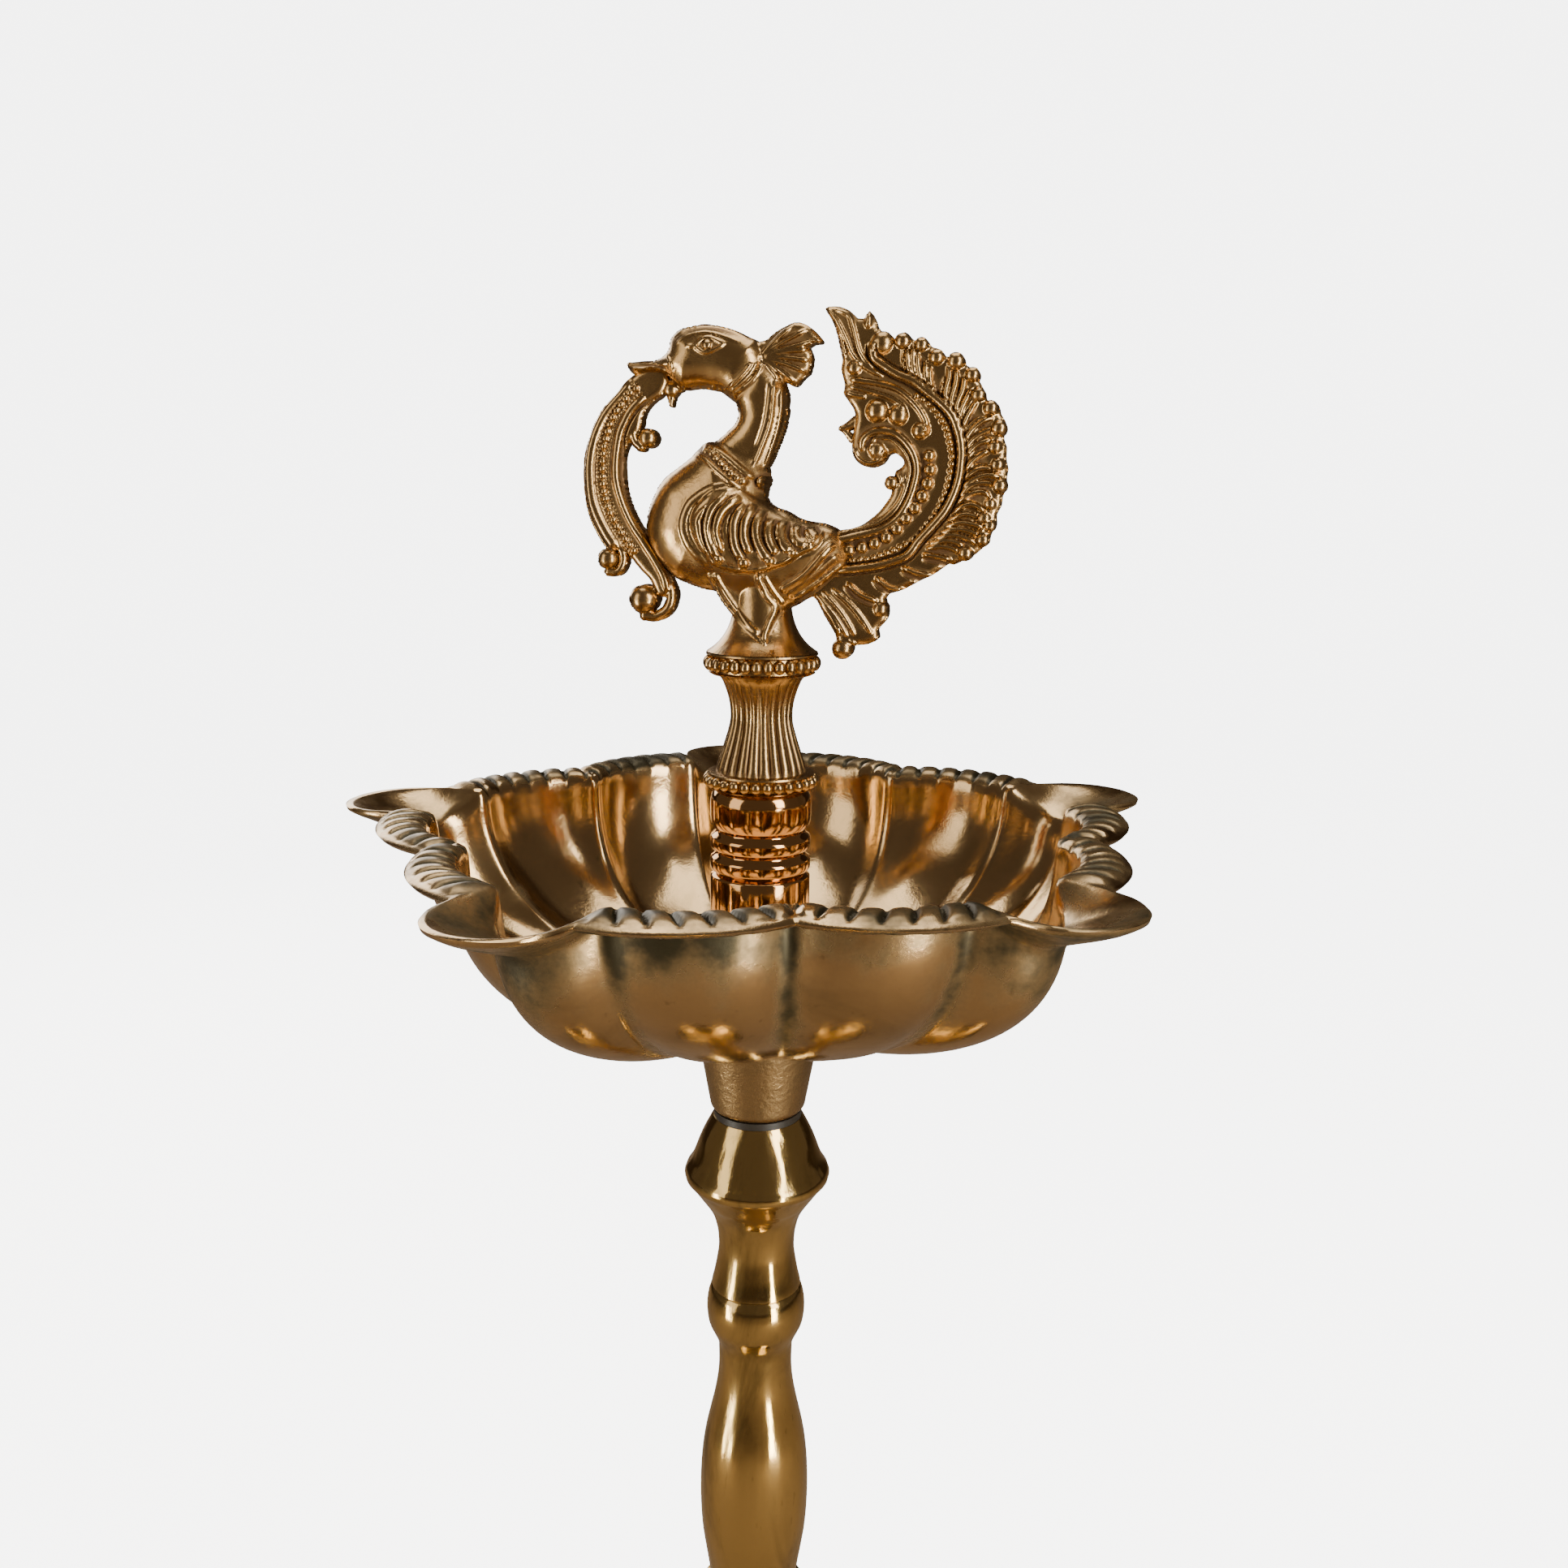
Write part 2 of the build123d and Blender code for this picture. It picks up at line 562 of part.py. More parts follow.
def bird_garland():
    """The garland that hangs from the beak to the breast."""
    band = plate(
        [
            curve((-19.4, 36.4), (-26.6, 28.2), (-29.8, 18.8), (-28.2, 11.2), (-25.6, 7.6)),
            Line(side(-25.6, 7.6), side(-16.4, 4.6)),
            curve((-16.4, 4.6), (-21.2, 10.8), (-23.2, 18.4), (-22.4, 27.2), (-17.6, 32.6), (-17.0, 35.4)),
            Line(side(-17.0, 35.4), side(-19.4, 36.4)),
        ],
        GARLAND_THICKNESS,
    )
    outer_end = strand(1.4, (-25.0, 9.0), (-23.4, 6.4), (-24.0, 4.4))
    inner_end = strand(1.7, (-18.6, 7.0), (-15.8, 1.8), (-16.2, -2.0), (-18.4, -3.4))
    curl = strand(1.1, (-20.6, 32.6), (-22.2, 28.0), (-20.4, 25.0))
    balls = ball(-25.6, 5.2, 2.7) + ball(-19.4, -1.5, 3.3) + ball(-19.5, 24.7, 2.1)
    return band + outer_end + inner_end + curl + balls


def bird_tail():
    """Raised crescent tail with its curls, and the drooping leaves below it."""
    fan = plate(
        [
            curve(
                (8.0, 2.0), (22.0, 2.6), (32.4, 7.2), (38.2, 15.0),
                (38.6, 24.0), (33.2, 35.4), (24.4, 41.0), (16.4, 42.2),
            ),
            curve((16.4, 42.2), (13.2, 44.0), (9.8, 45.1)),
            curve((9.8, 45.1), (12.0, 39.4), (12.7, 32.6)),
            curve((12.7, 32.6), (14.4, 25.2), (17.6, 20.8), (20.6, 22.8)),
            curve((20.6, 22.8), (23.4, 20.8), (19.3, 18.3), (20.2, 14.8), (16.6, 12.0), (11.0, 10.8)),
            Line(side(11.0, 10.8), side(6.0, 8.0)),
            Line(side(6.0, 8.0), side(8.0, 2.0)),
        ],
        PLATE_THICKNESS,
    )
    leaf_points = [
        (6.0, 4.0), (12.0, -4.6), (12.8, -7.4), (19.4, -7.4),
        (18.4, -4.6), (21.4, -2.2), (22.0, 4.0),
    ]
    corners = [side(x, z) for x, z in leaf_points]
    leaf_edges = [Line(corners[i - 1], corners[i]) for i in range(len(corners))]
    leaves = plate(leaf_edges, LEAF_THICKNESS)
    return fan + leaves + ball(14.4, -8.2, 2.3)


def bird_panel():
    """Pointed cloth panel over the legs, in front of and behind the pedestal."""
    points = [(-7.4, 5.0), (-4.8, -1.4), (2.4, -6.6), (4.2, -1.6), (9.4, 1.2), (6.0, 6.0)]
    corners = [side(x, z) for x, z in points]
    return plate([Line(corners[i - 1], corners[i]) for i in range(len(corners))], PANEL_THICKNESS)


def bird(pedestal):
    """The whole casting, turned a little on its pedestal and fitted over it."""
    peg = rod(PEG_RADIUS, PEDESTAL_TOP - PEG_LENGTH, PEDESTAL_TOP + PEG_IN_BIRD)
    casting = bird_body() + bird_head() + bird_garland() + bird_tail() + bird_panel()
    placed = Pos(0, 0, PEDESTAL_TOP) * Rot(0, 0, BIRD_YAW)
    pedestal_core = rod(PEDESTAL_TOP_RADIUS, PEDESTAL_BOTTOM, PEDESTAL_TOP)
    return placed * casting - pedestal - pedestal_core + peg


def main():
    """Write one file for each piece."""
    pedestal = bird_pedestal()
    pieces = {
        "foot": foot(),
        "foot_washer": foot_washer(),
        "foot_nut": foot_nut(),
        "foot_stud": foot_stud(),
        "lower_stem": lower_stem(),
        "stem_stud": stem_stud(),
        "upper_stem": upper_stem(),
        "bowl_washer": bowl_washer(),
        "bowl_stud": bowl_stud(),
        "bowl_boss": bowl_boss(),
        "bowl": bowl(),
        "post_washer": post_washer(),
        "finial_rod": finial_rod(),
        "ribbed_post": ribbed_post(),
        "bead_ring_lower": bead_ring_lower(),
        "fluted_spool": fluted_spool(),
        "bead_ring_upper": bead_ring_upper(),
        "bird_pedestal": pedestal,
        "bird": bird(pedestal),
    }
    os.makedirs("parts", exist_ok=True)
    for name, piece in pieces.items():
        export_step(piece, f"parts/{name}.step")


main()
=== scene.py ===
import json
import math

import bpy
import numpy as np
from bpy.props import FloatProperty, FloatVectorProperty, IntProperty, PointerProperty
from mathutils import Matrix, Vector

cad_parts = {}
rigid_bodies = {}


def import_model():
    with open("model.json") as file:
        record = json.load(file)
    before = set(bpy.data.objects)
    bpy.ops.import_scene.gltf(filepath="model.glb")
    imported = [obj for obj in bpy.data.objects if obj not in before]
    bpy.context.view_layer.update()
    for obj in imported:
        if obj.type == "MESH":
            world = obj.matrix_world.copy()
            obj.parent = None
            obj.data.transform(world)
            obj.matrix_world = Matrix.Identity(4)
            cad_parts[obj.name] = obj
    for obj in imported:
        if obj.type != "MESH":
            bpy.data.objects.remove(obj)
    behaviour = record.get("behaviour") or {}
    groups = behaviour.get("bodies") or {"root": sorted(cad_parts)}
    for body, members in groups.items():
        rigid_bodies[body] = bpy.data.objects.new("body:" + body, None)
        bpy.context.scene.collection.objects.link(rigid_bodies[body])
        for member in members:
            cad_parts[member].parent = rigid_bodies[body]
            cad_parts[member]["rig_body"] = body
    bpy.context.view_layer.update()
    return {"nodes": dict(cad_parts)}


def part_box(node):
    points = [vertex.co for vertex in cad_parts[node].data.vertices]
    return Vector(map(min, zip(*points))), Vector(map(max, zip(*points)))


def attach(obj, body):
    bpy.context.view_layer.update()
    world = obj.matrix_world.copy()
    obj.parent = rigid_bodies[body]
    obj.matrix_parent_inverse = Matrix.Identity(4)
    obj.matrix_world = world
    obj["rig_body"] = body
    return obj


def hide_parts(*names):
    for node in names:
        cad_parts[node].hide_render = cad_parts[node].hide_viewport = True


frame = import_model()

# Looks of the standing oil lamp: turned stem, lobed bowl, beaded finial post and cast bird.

bl_info = {
    "name": "Standing oil lamp",
    "version": (1, 0, 0),
    "blender": (4, 5, 0),
    "location": "View3D > Sidebar > Oil lamp",
    "description": "Models the lamp's turned stem, bowl, finial and bird round the packed frame",
    "category": "Object",
}

MM = 0.001
FULL_TURN = 2 * math.pi
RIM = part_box("bowl")[1].z
BOWL_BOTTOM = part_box("bowl")[0].z
MERGE_DISTANCE = 1e-6


# ------------------------------------------------------------------ settings
def colour_setting(name, description, default):
    """A colour of the sidebar."""
    return FloatVectorProperty(name=name, description=description, subtype="COLOR", size=4, min=0,
                               max=1, default=(*default, 1))


def length_setting(name, description, default, least, most):
    """A length of the sidebar, given in millimetres."""
    return FloatProperty(name=name, description=description, default=default * MM, min=least * MM,
                         max=most * MM, unit="LENGTH", precision=5)


class BrassSettings(bpy.types.PropertyGroup):
    """Colours of the brass."""
    stem_colour: colour_setting("Stem", "Yellow brass of the stem", (0.66, 0.45, 0.165))
    bowl_colour: colour_setting("Bowl", "Worn brass of the bowl", (0.56, 0.375, 0.18))
    post_colour: colour_setting("Post", "Orange brass of the post", (0.57, 0.31, 0.12))
    finial_colour: colour_setting("Finial", "Cast brass of the finial", (0.49, 0.305, 0.125))
    # dark tarnish in cloudy patches, and painted shade in the recesses of the bird and the spool
    tarnish_and_shade_colour: colour_setting("Shade and tarnish", "Dark film in the recesses", (0.15, 0.078, 0.03))
    # the bowl's dark colour: stain in cloudy patches, and painted shade under the rim, down the
    # creases and between the beans of the lip
    bowl_stain_and_shade_colour: colour_setting("Bowl shade and stain", "Green-black film on the bowl",
                                     (0.045, 0.036, 0.016))


class BowlSettings(bpy.types.PropertyGroup):
    """Sizes of the bowl's details."""
    wall: length_setting("Wall", "Thickness of the wall and lip", 1.5, 0.5, 2)
    ridge_height: length_setting("Ridge height", "Height of the beans on the lip", 1.0, 0, 1.5)
    ridges: IntProperty(name="Ridges", description="Beans on each scallop of the lip", default=7,
                        min=3, max=12)
    channel_depth: length_setting("Channel depth", "Drop of a beak's floor at the wall", 4.2, 0, 8)
    crease: length_setting("Crease", "Depth of the creases between the lobes", 1.1, 0, 3)


class FinialSettings(bpy.types.PropertyGroup):
    """Sizes of the finial post's details."""
    flutes: IntProperty(name="Flutes", description="Flutes round the spool", default=23, min=8,
                        max=40)
    flute_depth: length_setting("Flute depth", "Depth of the flutes at the spool's foot", 0.75, 0,
                                1.5)
    beads: IntProperty(name="Beads", description="Beads round each ring", default=30, min=12,
                       max=48)
    bead_radius: length_setting("Bead radius", "Radius of one bead", 1.0, 0.4, 1.2)


class BirdSettings(bpy.types.PropertyGroup):
    """Sizes of the bird casting."""
    yaw: FloatProperty(name="Turn", description="Turn of the casting on its pedestal",
                       default=math.radians(-12), subtype="ANGLE")
    cell: length_setting("Cell", "Spacing of the casting's surface points", 0.18, 0.1, 1)


# ------------------------------------------------------------------ modelling helpers
def deselect_all():
    """Nothing is selected and nothing is in edit mode."""
    if bpy.context.object and bpy.context.object.mode != "OBJECT":
        bpy.ops.object.mode_set(mode="OBJECT")
    bpy.ops.object.select_all(action="DESELECT")


def activate(piece):
    """Only this piece is selected and active."""
    deselect_all()
    piece.select_set(True)
    bpy.context.view_layer.objects.active = piece


def catmull(points, step, closed=False):
    """A smooth line through points, as an array of points about a step apart."""
    line = np.array(points, float)
    if closed:
        ends = np.vstack([line[-1], line, line[0], line[1]])
    else:
        ends = np.vstack([2 * line[0] - line[1], line, 2 * line[-1] - line[-2]])
    out = []
    for before, start, end, after in zip(ends, ends[1:], ends[2:], ends[3:]):
        count = max(1, int(np.linalg.norm(end - start) / step))
        t = np.arange(count)[:, None] / count
        out.append(0.5 * (2 * start + (end - before) * t + (2 * before - 5 * start + 4 * end
                                                            - after) * t ** 2 + (3 * start - before
                                                                                 - 3 * end + after)
                          * t ** 3))
    out.append(ends[-2][None] if not closed else np.empty((0, line.shape[1])))
    return np.vstack(out)


def turned(name, profile, steps, crease=35):
    """A piece turned round the lamp's axis from (radius, height) points in metres."""
    deselect_all()
    bpy.ops.mesh.primitive_plane_add(size=1 * MM)
    piece = bpy.context.object
    piece.name = name
    bpy.ops.object.mode_set(mode="EDIT")
    bpy.ops.mesh.select_all(action="SELECT")
    bpy.ops.mesh.merge(type="CENTER")
    last = Vector((0, 0, 0))
    for index, (radius, height) in enumerate(profile):
        here = Vector((radius, 0, height))
        if index == 0:
            bpy.ops.transform.translate(value=here)
        else:
            bpy.ops.mesh.extrude_vertices_move(TRANSFORM_OT_translate={"value": here - last})
        last = here
    bpy.ops.mesh.select_all(action="SELECT")
    bpy.ops.mesh.spin(steps=steps, angle=FULL_TURN, center=(0, 0, 0), axis=(0, 0, 1))
    bpy.ops.mesh.select_all(action="SELECT")
    bpy.ops.mesh.remove_doubles(threshold=MERGE_DISTANCE)
    bpy.ops.mesh.normals_make_consistent(inside=False)
    bpy.ops.object.mode_set(mode="OBJECT")
    bpy.ops.object.shade_smooth_by_angle(angle=math.radians(crease))
    return piece


def from_arrays(name, points, faces, crease, recess=None):
    """A mesh piece from arrays of points and faces, with an optional recess mask."""
    mesh = bpy.data.meshes.new(name)
    mesh.from_pydata(points.tolist(), [], faces.tolist())
    if recess is not None:
        mesh.attributes.new("recess", "FLOAT", "POINT").data.foreach_set("value",
                                                                         recess.astype(np.float32))
    piece = bpy.data.objects.new(name, mesh)
    bpy.context.scene.collection.objects.link(piece)
    activate(piece)
    bpy.ops.object.shade_smooth_by_angle(angle=math.radians(crease))
    return piece


def closed_ring(name, radius, height, angles, crease, recess=None):
    """A ring-like piece: radius and height are arrays of [angle, place round the section]."""
    turns, places = radius.shape
    x = radius * np.cos(angles)[:, None]
    y = radius * np.sin(angles)[:, None]
    points = np.stack([x, y, height], axis=2).reshape(-1, 3)
    turn, place = np.meshgrid(np.arange(turns), np.arange(places), indexing="ij")
    next_turn = (turn + 1) % turns
    next_place = (place + 1) % places
    faces = np.stack([turn * places + place, next_turn * places + place,
                      next_turn * places + next_place, turn * places + next_place],
                     axis=2).reshape(-1, 4)
    return from_arrays(name, points, faces, crease, None if recess is None else recess.reshape(-1))


def join(name, pieces):
    """Several mesh pieces as one."""
    deselect_all()
    for piece in pieces:
        piece.select_set(True)
    bpy.context.view_layer.objects.active = pieces[0]
    bpy.ops.object.join()
    pieces[0].name = name
    return pieces[0]


def finish_piece(piece, node, material):
    """Gives a piece its material and slot, and the place of the CAD node that it stands for."""
    piece.data.materials.clear()
    piece.data.materials.append(material)
    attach(piece, frame["nodes"][node]["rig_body"])
    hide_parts(node)


# ------------------------------------------------------------------ materials
def new_group(name, inputs, outputs):
    """An empty node group with named sockets."""
    group = bpy.data.node_groups.new(name, "ShaderNodeTree")
    for label, kind, default in inputs:
        socket = group.interface.new_socket(label, in_out="INPUT", socket_type=kind)
        if default is not None:
            socket.default_value = default
    for label, kind in outputs:
        group.interface.new_socket(label, in_out="OUTPUT", socket_type=kind)
    return group, group.nodes.new("NodeGroupInput"), group.nodes.new("NodeGroupOutput")


def feed(tree, socket, value):
    """Sets a socket to a number or a colour, or links it from another socket."""
    if isinstance(value, bpy.types.NodeSocket):
        tree.links.new(value, socket)
    else:
        socket.default_value = value


def ramp_node(tree, source, low, high):
    """A smooth step of a value between two levels."""
    node = tree.nodes.new("ShaderNodeMapRange")
    node.interpolation_type = "SMOOTHSTEP"
    for label, value in (("Value", source), ("From Min", low), ("From Max", high)):
        feed(tree, node.inputs[label], value)
    return node.outputs["Result"]


def noise_node(tree, vector, scale, detail, rough, distortion=0.0):
    """A noise texture's value."""
    node = tree.nodes.new("ShaderNodeTexNoise")
    for label, value in (("Vector", vector), ("Scale", scale), ("Detail", detail),
                         ("Roughness", rough), ("Distortion", distortion)):
        feed(tree, node.inputs[label], value)
    return node.outputs["Fac"]


def math_node(tree, operation, *values):
    """A math node's value; each operand is a socket or a number."""
    node = tree.nodes.new("ShaderNodeMath")
    node.operation = operation
    for socket, value in zip(node.inputs, values):
        feed(tree, socket, value)
    return node.outputs[0]


def ripple_group():
    """Soft waves and fine grain of a hand-finished casting, as a height."""
    group, inner, outer = new_group(
        "Hand ripple",
        [("Vector", "NodeSocketVector", None), ("Wave Scale", "NodeSocketFloat", 60.0),
         ("Grain Scale", "NodeSocketFloat", 900.0), ("Grain", "NodeSocketFloat", 0.1)],
        [("Height", "NodeSocketFloat")])
    wave = noise_node(group, inner.outputs["Vector"], inner.outputs["Wave Scale"], 2.0, 0.45)
    grain = noise_node(group, inner.outputs["Vector"], inner.outputs["Grain Scale"], 4.0, 0.6)
    fine = math_node(group, "MULTIPLY", grain, inner.outputs["Grain"])
    group.links.new(math_node(group, "ADD", wave, fine), outer.inputs["Height"])
    return group


def stain_and_reflection_group():
    """Cloudy patches and small specks, as masks; the patches are stain marks, and on the stem also
    painted dark reflection bands.
    """
    group, inner, outer = new_group(
        "Dark reflections and stain patches",
        [("Vector", "NodeSocketVector", None), ("Scale", "NodeSocketFloat", 30.0),
         ("Low", "NodeSocketFloat", 0.45), ("High", "NodeSocketFloat", 0.75)],
        [("Patches", "NodeSocketFloat"), ("Specks", "NodeSocketFloat")])
    cloud = noise_node(group, inner.outputs["Vector"], inner.outputs["Scale"], 6.0, 0.62, 0.6)
    group.links.new(ramp_node(group, cloud, inner.outputs["Low"], inner.outputs["High"]),
                    outer.inputs["Patches"])
    finer = math_node(group, "MULTIPLY", inner.outputs["Scale"], 14.0)
    speck = noise_node(group, inner.outputs["Vector"], finer, 3.0, 0.6)
    group.links.new(ramp_node(group, speck, 0.64, 0.76), outer.inputs["Specks"])
    return group


def tarnish_and_shade_group():
    """Dark layer where a recess mask and the clouds meet, as a mask: tarnish in cloudy patches, and
    painted shade where the mask marks recesses.
    """
    group, inner, outer = new_group(
        "tarnish and recess shade",
        [("Vector", "NodeSocketVector", None), ("Recess", "NodeSocketFloat", 0.0),
         ("Scale", "NodeSocketFloat", 120.0), ("Uneven", "NodeSocketFloat", 0.9)],
        [("Shade and tarnish mask", "NodeSocketFloat")])
    cloud = noise_node(group, inner.outputs["Vector"], inner.outputs["Scale"], 5.0, 0.6)
    centred = math_node(group, "SUBTRACT", cloud, 0.5)
    uneven = math_node(group, "MULTIPLY", centred, inner.outputs["Uneven"])
    level = math_node(group, "ADD", inner.outputs["Recess"], uneven)
    group.links.new(ramp_node(group, level, 0.18, 0.85), outer.inputs["Shade and tarnish mask"])
    return group


def place_group(tree, name, vector, **values):
    """One of the shared groups, placed in a material."""
    node = tree.nodes.new("ShaderNodeGroup")
    node.node_tree = bpy.data.node_groups[name]
    tree.links.new(vector, node.inputs["Vector"])
    for label, value in values.items():
        feed(tree, node.inputs[label.replace("_", " ")], value)
    return node


def mix_colour(tree, factor, first, second):
    """A mix of two colours; each is a socket or a colour."""
    node = tree.nodes.new("ShaderNodeMix")
    node.data_type = "RGBA"
    for index, value in ((0, factor), (6, first), (7, second)):
        feed(tree, node.inputs[index], value)
    return node.outputs[2]


def darker(colour, share):
    """A colour multiplied by a share."""
    return (colour[0] * share, colour[1] * share, colour[2] * share, 1)


def new_material(name):
    """An empty material, its node tree and its shader."""
    material = bpy.data.materials.new(name)
    material.use_nodes = True
    tree = material.node_tree
    return material, tree, tree.nodes["Principled BSDF"]


def ripple_bump(tree, shader, vector, wave, grain, strength, distance):
    """Bends the shader's normals by the hand ripple."""
    ripple = place_group(tree, "Hand ripple", vector, Wave_Scale=wave, Grain=grain)
    bump = tree.nodes.new("ShaderNodeBump")
    bump.inputs["Strength"].default_value = strength
    bump.inputs["Distance"].default_value = distance
    tree.links.new(ripple.outputs["Height"], bump.inputs["Height"])
    tree.links.new(bump.outputs["Normal"], shader.inputs["Normal"])


SPECK_SHARE = 0.35
SPECK_DARKNESS = 0.3
STAIN_AND_REFLECTION_ROUGHNESS = 0.14
FILM_AND_SHADE_ROUGHNESS = 0.28
FILM_AND_SHADE_METALLIC = -0.35


def brass(name, colour, film_and_shade, roughness, wave, wave_depth, stain_and_reflection_scale, stain_and_reflection_low, stain_and_reflection_high,
          stain_and_reflection_share=0.55, grain=0.06, film_scale=120.0, uneven=0.9, stretch=1.0):
    """Brass with ripples, cloudy stain patches and a dark layer in its recesses: tarnish, and
    painted shade from the recess mask; on the stem the patches also paint dark reflection bands.
    """
    material, tree, shader = new_material(name)
    along = tree.nodes.new("ShaderNodeMapping")
    along.inputs["Scale"].default_value = (1, 1, stretch)
    tree.links.new(tree.nodes.new("ShaderNodeTexCoord").outputs["Object"], along.inputs["Vector"])
    vector = along.outputs["Vector"]
    stains_and_reflections = place_group(tree, "Dark reflections and stain patches", vector, Scale=stain_and_reflection_scale, Low=stain_and_reflection_low, High=stain_and_reflection_high)
    patches, specks = stains_and_reflections.outputs["Patches"], stains_and_reflections.outputs["Specks"]
    recess = tree.nodes.new("ShaderNodeAttribute")
    recess.attribute_name = "recess"
    # dark layer: tarnish in cloudy patches, and painted shade where the recess mask is high
    tarnish_and_shade = place_group(tree, "tarnish and recess shade", vector, Recess=recess.outputs["Fac"], Scale=film_scale,
                       Uneven=uneven).outputs["Shade and tarnish mask"]
    # patch colour: stain marks, and on the stem also painted dark reflection bands
    stain_and_reflection_colour = mix_colour(tree, patches, tuple(colour), darker(colour, stain_and_reflection_share))
    speckled = mix_colour(tree, math_node(tree, "MULTIPLY", specks, SPECK_SHARE), stain_and_reflection_colour,
                          darker(colour, SPECK_DARKNESS))
    rougher = math_node(tree, "MULTIPLY_ADD", patches, STAIN_AND_REFLECTION_ROUGHNESS, roughness)
    # the dark layer's colour goes over the patched colour: tarnish, and painted shade in the
    # recesses
    feed(tree, shader.inputs["Base Color"], mix_colour(tree, tarnish_and_shade, speckled, tuple(film_and_shade)))
    feed(tree, shader.inputs["Roughness"], math_node(tree, "MULTIPLY_ADD", tarnish_and_shade, FILM_AND_SHADE_ROUGHNESS,
                                                     rougher))
    feed(tree, shader.inputs["Metallic"], math_node(tree, "MULTIPLY_ADD", tarnish_and_shade, FILM_AND_SHADE_METALLIC, 1.0))
    ripple_bump(tree, shader, vector, wave, grain, wave_depth, 1 * MM)
    return material


def plain_finish(name, colour, metallic, roughness, scale, depth):
    """A small part's finish: one colour with clouds and fine grain."""
    material, tree, shader = new_material(name)
    shader.inputs["Metallic"].default_value = metallic
    vector = tree.nodes.new("ShaderNodeTexCoord").outputs["Object"]
    patches = place_group(tree, "Dark reflections and stain patches", vector, Scale=scale).outputs["Patches"]
    feed(tree, shader.inputs["Base Color"], mix_colour(tree, patches, colour, darker(colour, 0.6)))
    feed(tree, shader.inputs["Roughness"], math_node(tree, "MULTIPLY_ADD", patches, 0.2, roughness))
    ripple_bump(tree, shader, vector, scale, 0.5, depth, 0.2 * MM)
    return material


class LAMP_OT_finishes(bpy.types.Operator):
    """Make the node groups and the finishes, and give the plain turned parts theirs"""
    bl_idname = "lamp.finishes"
    bl_label = "Finishes"

    def execute(self, context):
        colours = context.scene.lamp_brass
        ripple_group()
        stain_and_reflection_group()
        tarnish_and_shade_group()
        # stem: its vertically stretched patches paint dark reflection bands on the polished stem,
        # besides stain marks
        brass("stem brass", colours.stem_colour, colours.tarnish_and_shade_colour, roughness=0.11, wave=150,
              wave_depth=0.6, stain_and_reflection_scale=75, stain_and_reflection_low=0.47, stain_and_reflection_high=0.68, stain_and_reflection_share=0.42,
              stretch=0.2)
        # bowl: cloudy stain patches, and painted shade from the bowl's recess mask
        brass("bowl brass", colours.bowl_colour, colours.bowl_stain_and_shade_colour, roughness=0.15, wave=30,
              wave_depth=0.6, stain_and_reflection_scale=34, stain_and_reflection_low=0.46, stain_and_reflection_high=0.76, stain_and_reflection_share=0.55,
              film_scale=70, uneven=1.9)
        brass("boss brass", darker(colours.bowl_colour, 0.72), colours.tarnish_and_shade_colour,
              roughness=0.3, wave=60, wave_depth=0.5, grain=0.25, stain_and_reflection_scale=60, stain_and_reflection_low=0.42,
              stain_and_reflection_high=0.7)
        brass("post brass", colours.post_colour, colours.tarnish_and_shade_colour, roughness=0.08, wave=70,
              wave_depth=0.3, stain_and_reflection_scale=60, stain_and_reflection_low=0.55, stain_and_reflection_high=0.8)
        brass("finial brass", colours.finial_colour, colours.tarnish_and_shade_colour, roughness=0.25,
              wave=90, wave_depth=0.5, grain=0.12, stain_and_reflection_scale=70, stain_and_reflection_low=0.5, stain_and_reflection_high=0.8,
              stain_and_reflection_share=0.6)
        steel = plain_finish("zinc steel", (0.42, 0.41, 0.39, 1), 1.0, 0.3, 180, 0.3)
        # near-black washers under the boss and the post; their black also paints the shade in those
        # seams
        seam_shade_black = plain_finish("oiled seal", (0.02, 0.016, 0.012, 1), 0.0, 0.45, 200, 0.3)
        plain = {"foot": "stem brass", "bowl_boss": "boss brass", "bird_pedestal": "finial brass"}
        for node, finish in plain.items():
            set_cad_material(node, bpy.data.materials[finish])
        for node in ("foot_washer", "foot_nut"):
            set_cad_material(node, steel)
        for node in ("bowl_washer", "post_washer"):
            set_cad_material(node, seam_shade_black)
        return {"FINISHED"}


def set_cad_material(node, material):
    """A carried-over CAD part's finish."""
    part = frame["nodes"][node]
    if not part.material_slots:
        part.data.materials.append(material)
    for place in part.material_slots:
        place.material = material


# ------------------------------------------------------------------ stem and screws
# the bulb's radius, its drop below the neck and its height, in millimetres
STEM_BULBS = {
    "lower_stem": (11.2, 30.0, 54.0),
    "upper_stem": (10.0, 22.8, 46.4),
}
STUD_BORE = 5.05
BORE_DEPTH = 12.8
COLLAR_FOOT = 7.9
THREAD_PITCH = 1.5 * MM
THREAD_STEPS = 40
ROWS_PER_THREAD = 6


